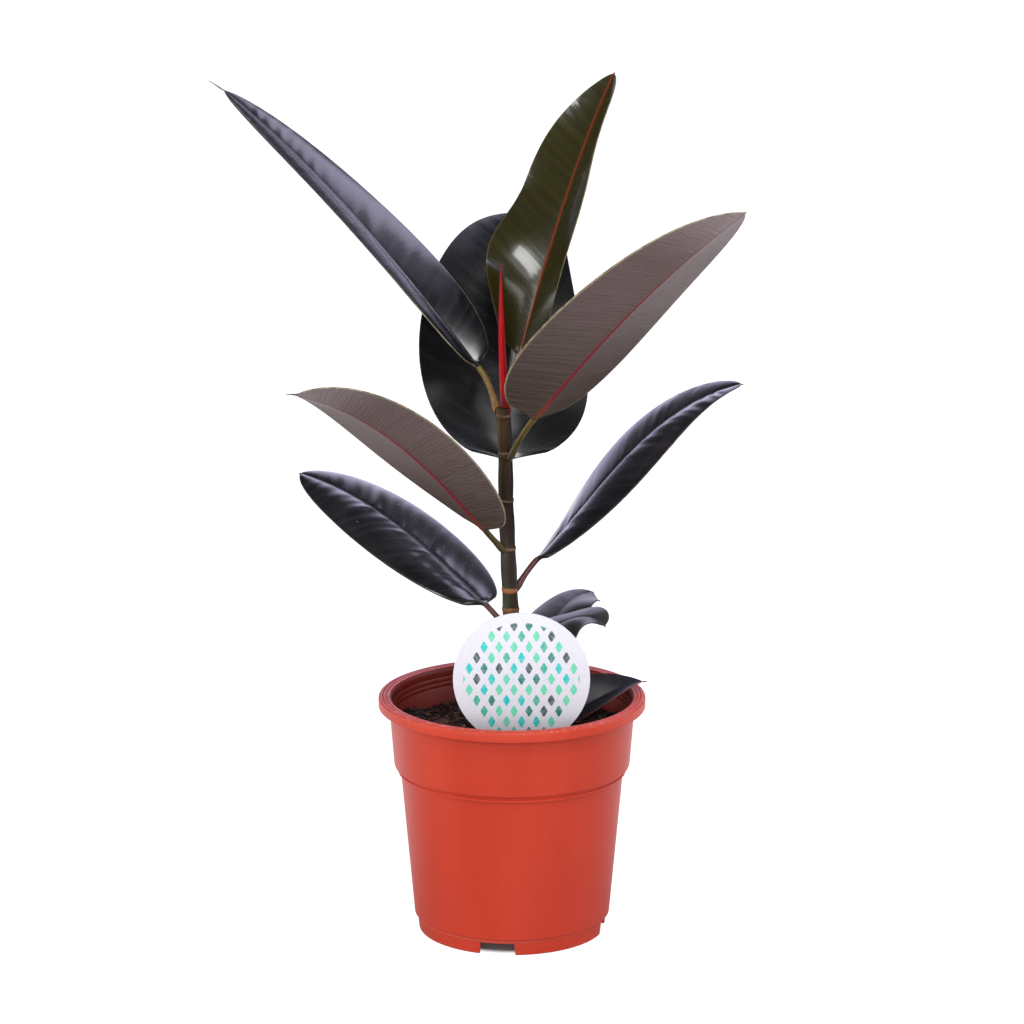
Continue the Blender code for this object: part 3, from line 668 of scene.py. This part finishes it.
LEAVES = {
    "leaf_01": leaf(239, (-14.5, 7, 257.5), 169, 41, (152, 160, 174), (47, 45, 39), (-15, -5, -21),
                    (33, 17, 11), -7, SLENDER_TIP, drip=8, stalk=(AMBER, OLIVE),
                    arch=(0.5, 0.7), wave=0.08, edge=(CREAM, BROWN_EDGE)),
    "leaf_02": leaf(237, (3, 12, 261.5), 140, 54, (51, 53, 61), (65, 60, 42), (31, -11, -8),
                    (41, 27, 21), 8, SLENDER_TIP, ripple=(5, 18, 1.25, 0.12), slant=(0.4, 0.6),
                    stalk=(ORANGE, ORANGE), arch=(0.8, 0.3), edge=(OLIVE_EDGE, OLIVE_EDGE),
                    still=0.45),
    "leaf_03": leaf(219, (9.5, -16, 239.5), 155, 66, (-43, -41, -31), (47, 43, 37), (-17, -11, -30),
                    (12, 10, 16), 4, SLENDER_TIP, slant=(-0.18, 0.3), stalk=(DARK_OLIVE, OLIVE),
                    edge=(CREAM, CREAM)),
    "leaf_04": leaf(199, (-2, 26.5, 210.5), 127, 87, (93, 75, 93), (69, 65, 13), (9, -4, -31),
                    (7, 23, 32), 18, slant=(0.5, 0.5), stalk=(DARK_OLIVE, DARK_OLIVE),
                    arch=(-0.4, -0.6), wave=0.05),
    "leaf_05": leaf(177, (-12, -12.5, 188.5), 137, 53, (234, 224, 219), (43, 38, 17), (-5, 12, 23),
                    (13, 11, 25), -5, drip=6, slant=(0.3, 0.3), stalk=(DARK_OLIVE, DARK_OLIVE),
                    edge=(CREAM, CREAM)),
    "leaf_06": leaf(141, (-11.5, 6, 149), 113, 53, (141, 146, 158), (32, 27, 11), (3, -4, -15),
                    (4, -3, -2), -7, slant=(0.5, 0.5), dust=1.0, arch=(1.0, 2.4), wave=0.16),
    "leaf_07": leaf(158, (11, 8, 169.5), 126, 47, (17, 29, 5), (45, 39, 12), (-15, -6, 7),
                    (-8, -7, 11), 2, slant=(0.5, 0.9), arch=(1.8, 1.0), wave=0.18),
    "leaf_08": leaf(127, (16, 4, 133.5), 45, 38, (83, 60, 40), (25, 20, -6), (-4, -19, 16),
                    (12, 8, -1), -15, wave=0.05),
    "leaf_09": leaf(131, (13, -8.5, 139), 32, 34, (10, -5, -28), (32, 18, -43), (8, 3, 10),
                    (2, -1, 17), -7, ripple=(15, 3, 1.05, 0.05), wave=0.05),
    "leaf_10": leaf(96, (7, -1, 97.5), 57, 29, (-17, 12, 32), (0, 24, -2), (43, 26, 2),
                    (26, 28, 21), 4, SLENDER_TIP, drip=3, wave=0.04, edge=(RED_EDGE, RED_EDGE)),
}


def through(values, share):
    """Smooth values through three given at the base, the middle and the tip."""
    base, middle, tip = values
    return (base * (1 - share) * (1 - 2 * share) + middle * 4 * share * (1 - share)
            + tip * share * (2 * share - 1))


def directions(measures, share):
    """Along, left and up directions of a blade at shares of its length, as rows of numbers."""
    heading = np.radians(through(measures["heading"], share))
    rise = np.radians(through(measures["rise"], share))
    roll = np.radians(through(measures["roll"], share))[:, None]
    level = np.stack([np.cos(heading), np.sin(heading)], 1) * np.cos(rise)[:, None]
    along = np.column_stack([level, np.sin(rise)])
    left = np.stack([-np.sin(heading), np.cos(heading), 0 * heading], 1)
    up = np.cross(along, left)
    return along, left * np.cos(roll) + up * np.sin(roll), up * np.cos(roll) - left * np.sin(roll)


def midrib(measures, shares):
    """Places along the midrib, found by adding up its directions."""
    steps = np.linspace(0, 1, 401)
    along, _, _ = directions(measures, (steps[1:] + steps[:-1]) / 2)
    places = np.vstack([np.zeros(3), np.cumsum(along, 0)]) * measures["length"] / 400
    places += np.array(measures["base"])
    return np.stack([np.interp(shares, steps, places[:, axis]) for axis in range(3)], 1)


def half_widths(measures, share):
    base, tip = BASE_ROUNDNESS, measures["tip"]
    widest = (base / (base + tip)) ** base * (tip / (base + tip)) ** tip
    return measures["width"] / 2 * share ** base * (1 - share) ** tip / widest


def section_columns():
    """Round the blade: -1 to 1 over the top, a rim, back underneath, and the other rim.

    Each column is (side, place from the midrib in mm, share of the rest, layer), where the layer is
    0 on top, 1 on a rim and 2 underneath.
    """
    half = [(place, 0.0) for place in RIB_PLACES]
    half += [(RIB_PLACES[-1], share) for share in BLADE_PLACES]
    over = [(-1, *spot, 0) for spot in reversed(half[1:])] + [(1, *spot, 0) for spot in half]
    under = [(1, *spot, 2) for spot in reversed(half)] + [(-1, *spot, 2) for spot in half[1:]]
    edge = (RIB_PLACES[-1], 1.0, 1)
    return over + [(1, *edge)] + under + [(-1, *edge)]


COLUMNS = section_columns()
VEIN_PITCH = 7.2                # from one side vein to the next, mm
VEIN_LINES = 0.0235             # spacing of the vein lines underneath, in the blade's own measure


def swelling(measures, seed, across, vein, share):
    """Height of the swellings between the side veins, mm: long across the blade, short along it."""
    height = np.zeros(across.shape)
    for (row, column), place in np.ndenumerate(vein):
        far = across[row, column]
        drift = noise.noise(Vector((place / 16, far / 60, seed + 5)))
        strength = 0.75 + noise.noise(Vector((place / 11, far / 14, seed + 2)))
        fine = noise.noise(Vector((place / 2.6, far / 25, seed + 9)))
        broad = noise.noise(Vector((place / 7, far / 45, seed)))
        furrow = math.cos(math.tau * (place / VEIN_PITCH + 1.1 * drift))
        height[row, column] = strength * (0.45 * furrow + 0.9 * broad) + 0.1 * fine
    fade = (np.clip(np.abs(across) / 2, 0, 1) * np.clip(share * 12, 0, 1)
            * np.clip((1 - share) * 8, 0, 1))
    return measures["wave"] * 2 * height * fade


def blade_rows(measures, seed, shares):
    """Places of the blade's sections, with each point's distance from the midrib and vein place."""
    share = shares[:, None]
    centre = midrib(measures, shares)
    _, left, up = directions(measures, shares)
    half = np.maximum(half_widths(measures, shares), THREAD_RADIUS)[:, None]
    side, rib, outer, layer = (np.array([column[part] for column in COLUMNS])[None]
                               for part in range(4))
    narrow = np.minimum(1, half / 6)
    far = rib * narrow + outer * (half - RIB_PLACES[-1] * narrow)
    reach = far / half
    right, left_wave, waves, crest = measures["ripple"]
    calm = np.clip((1 - share) / measures["still"], 0, 1)
    wave = np.cos(math.tau * waves * (share - crest)) * calm * reach
    wave = wave * np.where(side > 0, left_wave, right)
    lift = np.radians(through(measures["fold"], share) + measures["curl"] * reach / 2 + wave)
    across = far * side
    slant = np.where(side > 0, measures["slant"][1], measures["slant"][0])
    vein = share * measures["length"] - slant * far
    soft = 0.9 * narrow
    rise = (np.sqrt(far ** 2 + soft ** 2) - soft) * np.sin(lift)
    groove = -GROOVE * np.exp(-(far / GROOVE_WIDTH) ** 2) * narrow * (layer == 0)
    bulge = np.where(side > 0, measures["arch"][1], measures["arch"][0]) * np.minimum(1, half / 20)
    groove = groove + bulge * 4 * reach * (1 - reach)
    swell = swelling(measures, seed, across, vein, share) * np.clip((1 - reach) * 4, 0.2, 1)
    body = BLADE * np.minimum(1, half / 3)
    keel = KEEL * (1 - KEEL_LOSS * share) * narrow * np.exp(-(far / KEEL_WIDTH) ** 2)
    rim = RIM * np.minimum(1, half / 3) * (layer == 1)
    depth = np.where(layer == 2, body + keel, np.where(layer == 1, body / 2, 0))
    sideways = across * np.cos(lift) + rim * side
    upwards = rise + groove + swell - depth
    points = (centre[:, None, :] + left[:, None, :] * sideways[..., None]
              + up[:, None, :] * upwards[..., None])
    return points, across, vein


def round_row(centre, along, left, radius):
    """One section of the stalk, its points in the order of the blade's."""
    side = left - along * np.dot(left, along)
    side /= np.linalg.norm(side)
    up = np.cross(along, side)
    over = [k for k, column in enumerate(COLUMNS) if column[3] == 0]
    under = [k for k, column in enumerate(COLUMNS) if column[3] != 0]
    angles = np.zeros(len(COLUMNS))
    angles[over] = np.linspace(math.pi, 0, len(over))
    angles[under] = -np.linspace(0, math.pi, len(under) + 1)[1:] * len(under) / (len(under) + 1)
    return centre + radius * (np.outer(np.cos(angles), side) + np.outer(np.sin(angles), up))


def stalk_rows(measures):
    """From its scar on the stem, in one bend, to the foot of the blade."""
    height = measures["scar"]
    base = np.array(measures["base"], float)
    axis = np.array((stem_lean(height), 0, height))
    outwards = (base - axis) * (1, 1, 0)
    outwards /= np.linalg.norm(outwards)
    start = axis + outwards * (stem_radius(height) + 0.15)
    along, left, _ = directions(measures, np.array([0.0]))
    bend = base - along[0] * np.linalg.norm(base - start) * STALK_BEND
    stem_left = np.array((-outwards[1], outwards[0], 0))
    rows = []
    for step in range(STALK_ROWS):
        share = step / STALK_ROWS
        centre = start * (1 - share) ** 2 + bend * 2 * share * (1 - share) + base * share ** 2
        ahead = (bend - start) * (1 - share) + (base - bend) * share
        if step == 0:
            ahead = outwards
        side = stem_left * (1 - share) + left[0] * share
        radius = STALK_RADIUS + (STALK_FOOT_RADIUS - STALK_RADIUS) * max(0, 1 - share * 2.5)
        rows.append(round_row(centre, ahead / np.linalg.norm(ahead), side, radius))
    return rows, base, along[0], left[0]


def written(tree, attribute, out=2):
    """What the mesh carries under a name: a number, or with out=0 a colour."""
    return node(tree, "Attribute", attribute_name=attribute, out=out)


def vein_places(tree):
    """Across the blade, along it, how far from the midrib, and how near to the margin."""
    veins = node(tree, "UVMap", uv_map="veins")
    across, along = part_of(veins, 0), part_of(veins, 1)
    return across, along, maths("ABSOLUTE", across), maths("ABSOLUTE", written(tree, "side"))


def leaf_upper(name, dark, light, rib, rib_width, streaks, coat, roughness, specular,
               coat_roughness):
    """The waxed upper face: dark, with lighter streaks between its side veins, partly a painted
    sheen, and a fine pale margin.
    """
    made, tree, shader = finish(name, roughness, specular)
    shader["Coat Weight"].default_value = coat
    shader["Coat Roughness"].default_value = coat_roughness
    across, along, far, side = vein_places(tree)
    streak = grain(node(tree, "CombineXYZ", times(across, 0.06), along), 24, 2)
    # The lighter tone between the side veins is partly a painted sheen.
    colour = blended(between(streak, 0.35, 0.7), dark, light)
    colour = tinted(colour, dark, grain(place_of(tree), 45), 0.45, 0.7, 0, 0.5)
    colour = tinted(colour, rib, far, rib_width * 0.35 * VEIN_UNIT, rib_width * VEIN_UNIT, 1, 0)
    colour = tinted(colour, written(tree, "edge_tint", 0), side, 0.965, 1.0, 0, 0.4)
    spot = specks(place_of(tree), 330, (0.88, 0.9), (0.08, 0.2), 0.5)
    colour = blended(times(spot, written(tree, "dust")), colour, (0.30, 0.32, 0.34))
    feed(colour, shader["Base Color"])
    feed(between(streak, 0.25, 0.75, roughness - 0.03, roughness + 0.03), shader["Roughness"])
    lined = relief(streak, 0.3 * MM, streaks)
    feed(lined, shader["Normal"])
    feed(lined, shader["Coat Normal"])
    return made


def leaf_under():
    """The dull lower face: mauve-brown, browner at its foot, a painted sheen paling its tip, fine
    side veins, crimson midrib.
    """
    made, tree, shader = finish("leaf_under", 0.52, 0.35)
    across, along, far, side = vein_places(tree)
    share = written(tree, "share")
    lines = node(tree, "CombineXYZ", times(across, 0.05), along)
    streak = grain(lines, 60, 3, 0.55)
    fine = grain(place_of(tree), 1500, 3, 0.6)
    sway = times(grain(node(tree, "CombineXYZ", across, along), 14, 2), 0.05)
    count = maths("FRACT", maths("DIVIDE", maths("ADD", along, sway), VEIN_LINES))
    ridge = between(maths("ABSOLUTE", maths("SUBTRACT", count, 0.5)), 0.03, 0.17, 1, 0)
    thread = times(ridge, between(grain(lines, 95, 2), 0.35, 0.6, 0.25, 1))
    colour = blended(between(share, 0.0, 0.7), (0.068, 0.044, 0.029), (0.155, 0.103, 0.094))
    # Painted sheen: the last part of the blade towards its tip is paled.
    colour = tinted(colour, (0.34, 0.27, 0.275), share, 0.7, 1.0)
    colour = tinted(colour, (0.20, 0.150, 0.135), streak, 0.35, 0.75, 0, 0.35)
    lined = times(thread, between(share, 0.1, 0.8, 0.6, 0.28))
    colour = blended(lined, colour, (0.045, 0.018, 0.016))
    colour = tinted(colour, (0.20, 0.155, 0.14), fine, 0.4, 0.7, 0, 0.15)
    rib_colour = blended(between(share, 0.0, 0.16), (0.24, 0.050, 0.012), (0.24, 0.012, 0.024))
    rib_width = between(share, 0.0, 0.9, 1.25 * VEIN_UNIT, 0.5 * VEIN_UNIT)
    soft = between(far, times(rib_width, 0.75), times(rib_width, 1.15), 1.0, 0.0)
    fade = between(share, 0.55, 0.92, 1, 0.25)
    colour = blended(times(soft, fade), colour, rib_colour)
    colour = tinted(colour, written(tree, "edge_tint", 0), side, 0.968, 0.99, 0, 0.85)
    feed(colour, shader["Base Color"])
    coarse = relief(streak, 0.3 * MM, 0.4)
    feed(relief(thread, 0.16 * MM, 0.6, coarse), shader["Normal"])
    return made


def leaf_margin():
    """The thin line that runs round the blade's edge, its colour worn off in places."""
    made, tree, shader = finish("leaf_margin", 0.45, 0.4)
    wear = grain(place_of(tree), 300)
    edge = written(tree, "edge_tint", 0)
    feed(tinted(edge, (0.05, 0.035, 0.02), wear, 0.35, 0.7, 0.1, 0.8), shader["Base Color"])
    return made


def leaf_stalk():
    """The stalk's skin: its own colours along it, with fine lines and darker flecks."""
    made, tree, shader = finish("leaf_stalk", 0.42, 0.5)
    flecks = grain(place_of(tree), 420, 4, 0.6)
    tint = written(tree, "stalk_tint", 0)
    feed(tinted(tint, (0.04, 0.016, 0.010), flecks, 0.42, 0.72, 0, 0.5), shader["Base Color"])
    feed(relief(flecks, 0.15 * MM, 0.4), shader["Normal"])
    return made


def run_on(colours, share):
    """From one colour to the other, with the share held between 0 and 1."""
    foot, top = (np.array((*colour, 1)) for colour in colours)
    share = np.clip(share, 0, 1)[:, None]
    return foot * (1 - share) + top * share


def grown_leaf(name, measures, seed, skins):
    """The whole leaf from one grid, rolled into a tube and set to its sections.

    The skins are in the order of the layers, top, rim and underneath, with the stalk's last.
    """
    onwards = np.linspace(0, 1, BLADE_ROWS - len(FOOT_SHARES)) ** 0.93
    shares = np.concatenate([FOOT_SHARES, 0.052 + 0.946 * np.sin(np.pi / 2 * onwards)])
    points, across, vein = blade_rows(measures, seed, shares)
    stalk, base, along, left = stalk_rows(measures)
    ring = round_row(base, along, left, STALK_RADIUS)
    for row, share in enumerate(FOOT_SHARES):
        into = np.clip((share + 0.002) / 0.034, 0, 1)
        into = into * into * (3 - 2 * into)
        offset = midrib(measures, np.array([share]))[0] - base
        points[row] = (ring + offset) * (1 - into) + points[row] * into
    tip_along, tip_left, tip_up = (d[0] for d in directions(measures, np.array([1.0])))
    tip = midrib(measures, np.array([1.0]))[0] - tip_up * BLADE / 2
    thread = []
    for step in range(1, THREAD_ROWS + 1):
        ahead = tip + tip_along * measures["drip"] * step / THREAD_ROWS
        droop = tip_up * measures["drip"] * 0.12 * (step / THREAD_ROWS) ** 2
        thread.append(round_row(ahead - droop, tip_along, tip_left,
                                THREAD_RADIUS * (1 - 0.75 * step / THREAD_ROWS)))
    rows = np.concatenate([np.array(stalk), points, np.array(thread)]) * MM + np.array(POT_AXIS)
    count, last = len(COLUMNS), len(rows) - 1
    piece = added(bpy.ops.mesh.primitive_grid_add, size=1, x_subdivisions=count,
                  y_subdivisions=last)
    piece.name = name
    mesh = piece.data
    x, y = (np.array([round((vertex.co[axis] + 0.5) * steps) for vertex in mesh.vertices])
            for axis, steps in enumerate((count, last)))
    mesh.vertices.foreach_set("co", rows[y, x % count].ravel())
    blade_at, blade_end = len(stalk), len(stalk) + len(shares) - 1
    lengths = np.concatenate([np.linspace(-0.12, 0, blade_at), shares, np.full(len(thread), 1.0)])
    sides = np.array([column[0] * column[2] for column in COLUMNS + COLUMNS[:1]])
    for attribute, values in (
            ("side", sides[x]), ("share", lengths[y]), ("dust", np.full(len(x), measures["dust"])),
            ("stalk_tint", run_on(measures["stalk"], y / blade_at)),
            ("edge_tint", run_on(measures["edge"], lengths[y] * 5 - 1))):
        kind, field = ("FLOAT_COLOR", "color") if values.ndim == 2 else ("FLOAT", "value")
        mesh.attributes.new(attribute, kind, "POINT").data.foreach_set(field, values.ravel())
    veins = mesh.uv_layers[0]
    veins.name = "veins"
    for polygon in mesh.polygons:
        corners = list(polygon.vertices)
        column = x[corners].min()
        layers = {COLUMNS[column][3], COLUMNS[(column + 1) % count][3]}
        skin = 1 if 1 in layers else min(layers)
        polygon.material_index = skin if blade_at <= y[corners].min() < blade_end else 3
        for loop, corner in zip(polygon.loop_indices, corners):
            spot = np.clip(y[corner], blade_at, blade_end) - blade_at, x[corner] % count
            veins.data[loop].uv = (across[spot] * VEIN_UNIT, vein[spot] * VEIN_UNIT)
    for skin in skins:
        mesh.materials.append(skin)
    smoothed(close_ends(piece), 50)
    return piece


# Dark tone, lighter streak tone (partly a painted sheen), midrib's tone and width, relief of the
# streaks, coat, roughness, specular and the coat's roughness.
dark_face = leaf_upper("leaf_upper_dark", (0.005, 0.0065, 0.007), (0.013, 0.014, 0.018),
                       (0.030, 0.026, 0.034), 0.8, 0.05, 0.9, 0.26, 0.5, 0.19)
dull_face = leaf_upper("leaf_upper_dull", (0.013, 0.015, 0.012), (0.028, 0.031, 0.024),
                       (0.030, 0.028, 0.030), 1.0, 0.12, 0.25, 0.42, 0.4, 0.26)
deep_face = leaf_upper("leaf_upper_deep", (0.006, 0.007, 0.009), (0.014, 0.014, 0.019),
                       (0.024, 0.020, 0.026), 0.8, 0.1, 0.1, 0.44, 0.3, 0.3)
green_face = leaf_upper("leaf_upper_green", (0.023, 0.021, 0.0025), (0.033, 0.028, 0.003),
                        (0.17, 0.030, 0.006), 1.1, 0.3, 0.9, 0.26, 0.5, 0.12)
under_face = leaf_under()
margin = leaf_margin()
stalk_skin = leaf_stalk()
for seed, (name, measures) in enumerate(LEAVES.items()):
    upper = {"leaf_02": green_face, "leaf_08": dull_face, "leaf_09": dull_face,
             "leaf_10": deep_face}.get(name, dark_face)
    grown = grown_leaf(name.replace("leaf", "blade"), measures, seed * 3.7,
                       (upper, margin, under_face, stalk_skin))
    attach(grown, "root")
    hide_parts(name)


# ------------------------ plant label
# A round plastic tag on a flat stake, stamped from one sheet and pushed into the mix. Its face is
# printed with staggered rows of small lozenges in four greens and a slate grey.

LABEL_RADIUS = 30.3
LABEL_THICKNESS = 0.8
LABEL_CENTRE = Vector((4.2, -30, 125))
STAKE_WIDTH = 9
STAKE_TIP = 38
STAKE_TAPER = 12
STAKE_TIP_SHARE = 0.22          # its width at the tip, as a share of its full width
STAKE_OVERLAP = 4               # how far it runs up behind the round face's edge
PRINT_RADIUS = 26
COLUMN_PITCH = 6.6
ROW_PITCH = 4.9
LOZENGE_ACROSS = 0.26           # half its width and half its height, as shares of the pitches
LOZENGE_UP = 0.66
INKS = ((0.00, (0.13, 0.72, 0.46)), (0.28, (0.0, 0.62, 0.60)), (0.46, (0.015, 0.22, 0.19)),
        (0.66, (0.055, 0.060, 0.075)), (0.86, (0.04, 0.45, 0.32)))


def label_print():
    """White plastic, its front printed with lozenges, each in the ink that its place draws."""
    made, tree, shader = finish("label_plastic", 0.34, 0.5)
    place = place_of(tree)
    x = maths("SUBTRACT", part_of(place, 0), LABEL_CENTRE.x * MM)
    z = maths("SUBTRACT", part_of(place, 2), LABEL_CENTRE.z * MM)
    row_place = maths("DIVIDE", z, ROW_PITCH * MM)
    row = maths("FLOOR", maths("ADD", row_place, 0.5))
    odd = times(maths("MODULO", maths("ADD", row, 100.0), 2.0), 0.5)
    column_place = maths("ADD", maths("DIVIDE", x, COLUMN_PITCH * MM), odd)
    column = maths("FLOOR", maths("ADD", column_place, 0.5))
    dx = maths("ABSOLUTE", maths("SUBTRACT", column_place, column))
    dz = maths("ABSOLUTE", maths("SUBTRACT", row_place, row))
    reach = maths("ADD", maths("DIVIDE", dx, LOZENGE_ACROSS), maths("DIVIDE", dz, LOZENGE_UP))
    lozenge = between(reach, 0.92, 1.0, 1, 0)
    from_middle = maths("SQRT", maths("ADD", times(x, x), times(z, z)))
    printed = between(from_middle, (PRINT_RADIUS - 0.4) * MM, PRINT_RADIUS * MM, 1, 0)
    pick = node(tree, "TexWhiteNoise", node(tree, "CombineXYZ", column, row))
    wash = grain(place, 700, 2)
    ink = ramp(pick, *INKS, interpolation="CONSTANT")
    ink = tinted(ink, (0.6, 0.85, 0.8), wash, 0.3, 0.7, 0, 0.25)
    front = between(part_of(place, 1), LABEL_CENTRE.y * MM, (LABEL_CENTRE.y + 0.1) * MM, 1, 0)
    white = blended(between(wash, 0.3, 0.7), (0.80, 0.79, 0.87), (0.84, 0.83, 0.90))
    mask = times(times(lozenge, printed), front)
    feed(blended(mask, white, ink), shader["Base Color"])
    feed(relief(grain(place, 1100, 2), 0.03 * MM, 0.3), shader["Normal"])
    return made


label = added(bpy.ops.mesh.primitive_circle_add, vertices=128, radius=LABEL_RADIUS * MM,
              fill_type="NGON", rotation=(math.pi / 2, 0, 0),
              location=POT_AXIS + (LABEL_CENTRE - Vector((0, 0.4, 0))) * MM)
label.name = "label_tag"
edit_all(label)
bpy.ops.mesh.extrude_region_move(TRANSFORM_OT_translate={"value": (0, LABEL_THICKNESS * MM, 0)})
bpy.ops.mesh.select_all(action="SELECT")
bpy.ops.mesh.normals_make_consistent(inside=False)
let_go()
stake_top = LABEL_CENTRE.z - LABEL_RADIUS + STAKE_OVERLAP
stake_middle = Vector((LABEL_CENTRE.x, LABEL_CENTRE.y, (stake_top + STAKE_TIP) / 2))
stake = added(bpy.ops.mesh.primitive_cube_add, size=1, location=POT_AXIS + stake_middle * MM,
              scale=(STAKE_WIDTH * MM, LABEL_THICKNESS * MM * 0.98, (stake_top - STAKE_TIP) * MM))
edit_all(stake)
bpy.ops.mesh.bisect(plane_co=POT_AXIS + Vector((0, 0, (STAKE_TIP + STAKE_TAPER) * MM)),
                    plane_no=(0, 0, 1))
let_go()
for vertex in stake.data.vertices:
    if vertex.co.z < (STAKE_TIP + 1) * MM:
        middle = POT_AXIS.x + LABEL_CENTRE.x * MM
        vertex.co.x = middle + (vertex.co.x - middle) * STAKE_TIP_SHARE
combined(label, stake, "UNION")
edge = label.modifiers.new("edge", "BEVEL")
edge.width = 0.14 * MM
edge.segments = 2
edge.limit_method = "ANGLE"
take(label)
bpy.ops.object.modifier_apply(modifier="edge")
smoothed(label, 30)
label.data.materials.clear()
label.data.materials.append(label_print())
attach(label, "root")
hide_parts("plant_label")


# ------------------------ studio
# A pale floor that runs on into a white surround, with a painted shadow under the pot, soft boxes
# in front, overhead and at both sides, and a long lens from a little above the pot's rim.

WHITE = (1, 1, 1)
LAVENDER = (0.76, 0.73, 1)
DIM = (0.07, 0.07, 0.08)
LOW_GLOW = (0.66, 0.62, 0.90)
BRIGHT_COLUMN = (1.30, 1.24, 1.72)
FLOOR_GLOW = 0.94               # how white the floor looks, away from the pot's foot
FOOT_SHADE = (0.034, 0.040)     # from the pot's axis, where that begins
FLOOR_SWEEP = (-0.05, 0.2)      # where the floor behind runs on into the surround
CAMERA_BACK = 1.9406
CAMERA_HEIGHT = 0.6774
CAMERA_DOWN_DEG = 14

floor = added(bpy.ops.mesh.primitive_plane_add, size=12, location=(0, 0, 0))
floor.name = "studio_floor"
pale, pale_tree, pale_shader = finish("studio_floor", 0.8, 0.0)
pale_shader["Base Color"].default_value = (0.45, 0.45, 0.47, 1)
pale_shader["Emission Color"].default_value = (*WHITE, 1)
seen = node(pale_tree, "LightPath")
sweep = between(part_of(node(pale_tree, "TexCoord", out=3), 1), *FLOOR_SWEEP)
# Painted shadow: under the pot's foot the floor's glow fades to nothing.
spot = node(pale_tree, "VectorMath", place_of(pale_tree), operation="LENGTH", out=1)
lit = between(spot, *FOOT_SHADE, 0.0, FLOOR_GLOW)
feed(maths("MAXIMUM", times(seen, lit), sweep), pale_shader["Emission Strength"])
floor.data.materials.append(pale)
floor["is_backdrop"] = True

world = bpy.data.worlds.new("white_surround")
scene = bpy.context.scene
scene.world = world
world.use_nodes = True
sky = world.node_tree

# Seen directly the surround is white. For the plant it is dim, but for a lavender glow low behind
# and a brighter column straight behind.
toward = node(sky, "TexCoord")
rightwards, backwards, upwards = (part_of(toward, axis) for axis in range(3))
glow = times(between(backwards, 0.78, 0.96), between(upwards, 0.10, 0.62, 1, 0))
aside = maths("ABSOLUTE", maths("DIVIDE", rightwards, backwards))
column = times(between(aside, 0.12, 0.42, 1, 0), between(upwards, 0.52, 0.90, 1, 0))
column = times(column, node(sky, "MapRange", backwards, 0.1, 0.5, 0.0, 1.0))
fill = blended(column, blended(glow, DIM, LOW_GLOW), BRIGHT_COLUMN)
feed(blended(node(sky, "LightPath"), fill, WHITE), sky.nodes["Background"].inputs["Color"])


def soft_box(name, azimuth_deg, elevation_deg, distance, width, height, radiance, colour=WHITE):
    """A lit panel facing the plant. Azimuth 0 is in front of the pot, and 90 at its right."""
    azimuth, elevation = math.radians(azimuth_deg), math.radians(elevation_deg)
    outwards = Vector((math.sin(azimuth) * math.cos(elevation),
                       -math.cos(azimuth) * math.cos(elevation), math.sin(elevation)))
    panel = bpy.data.lights.new(name, "AREA")
    panel.shape = "RECTANGLE"
    panel.size = width
    panel.size_y = height
    panel.energy = radiance * math.pi * width * height
    panel.color = colour
    lamp = bpy.data.objects.new(name, panel)
    lamp.location = POT_AXIS + Vector((0, 0, 0.2)) + outwards * distance
    lamp.rotation_euler = (-outwards).to_track_quat("-Z", "Y").to_euler()
    lamp.visible_camera = False
    scene.collection.objects.link(lamp)


soft_box("front_box", -12, 14, 1.9, 4.6, 1.3, 2.02)
soft_box("key_box", 8, 54, 1.5, 0.46, 0.80, 8.6)
soft_box("left_box", -88, 9, 1.6, 1.6, 1.0, 1.9)
soft_box("right_low_box", 80, 10, 1.6, 1.4, 0.8, 1.8)
soft_box("right_box", 118, 43, 1.5, 0.98, 0.58, 3.0, LAVENDER)
soft_box("right_top_box", 86, 53, 1.5, 0.5, 0.4, 0.6, LAVENDER)

lens = bpy.data.cameras.new("camera")
lens.sensor_width = 36
lens.lens = 158.1
camera = bpy.data.objects.new("camera", lens)
camera.location = POT_AXIS + Vector((0, -CAMERA_BACK, CAMERA_HEIGHT))
camera.rotation_euler = (math.radians(90 - CAMERA_DOWN_DEG), 0, 0)
scene.collection.objects.link(camera)
scene.camera = camera
scene.view_settings.view_transform = "Standard"

low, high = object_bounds()
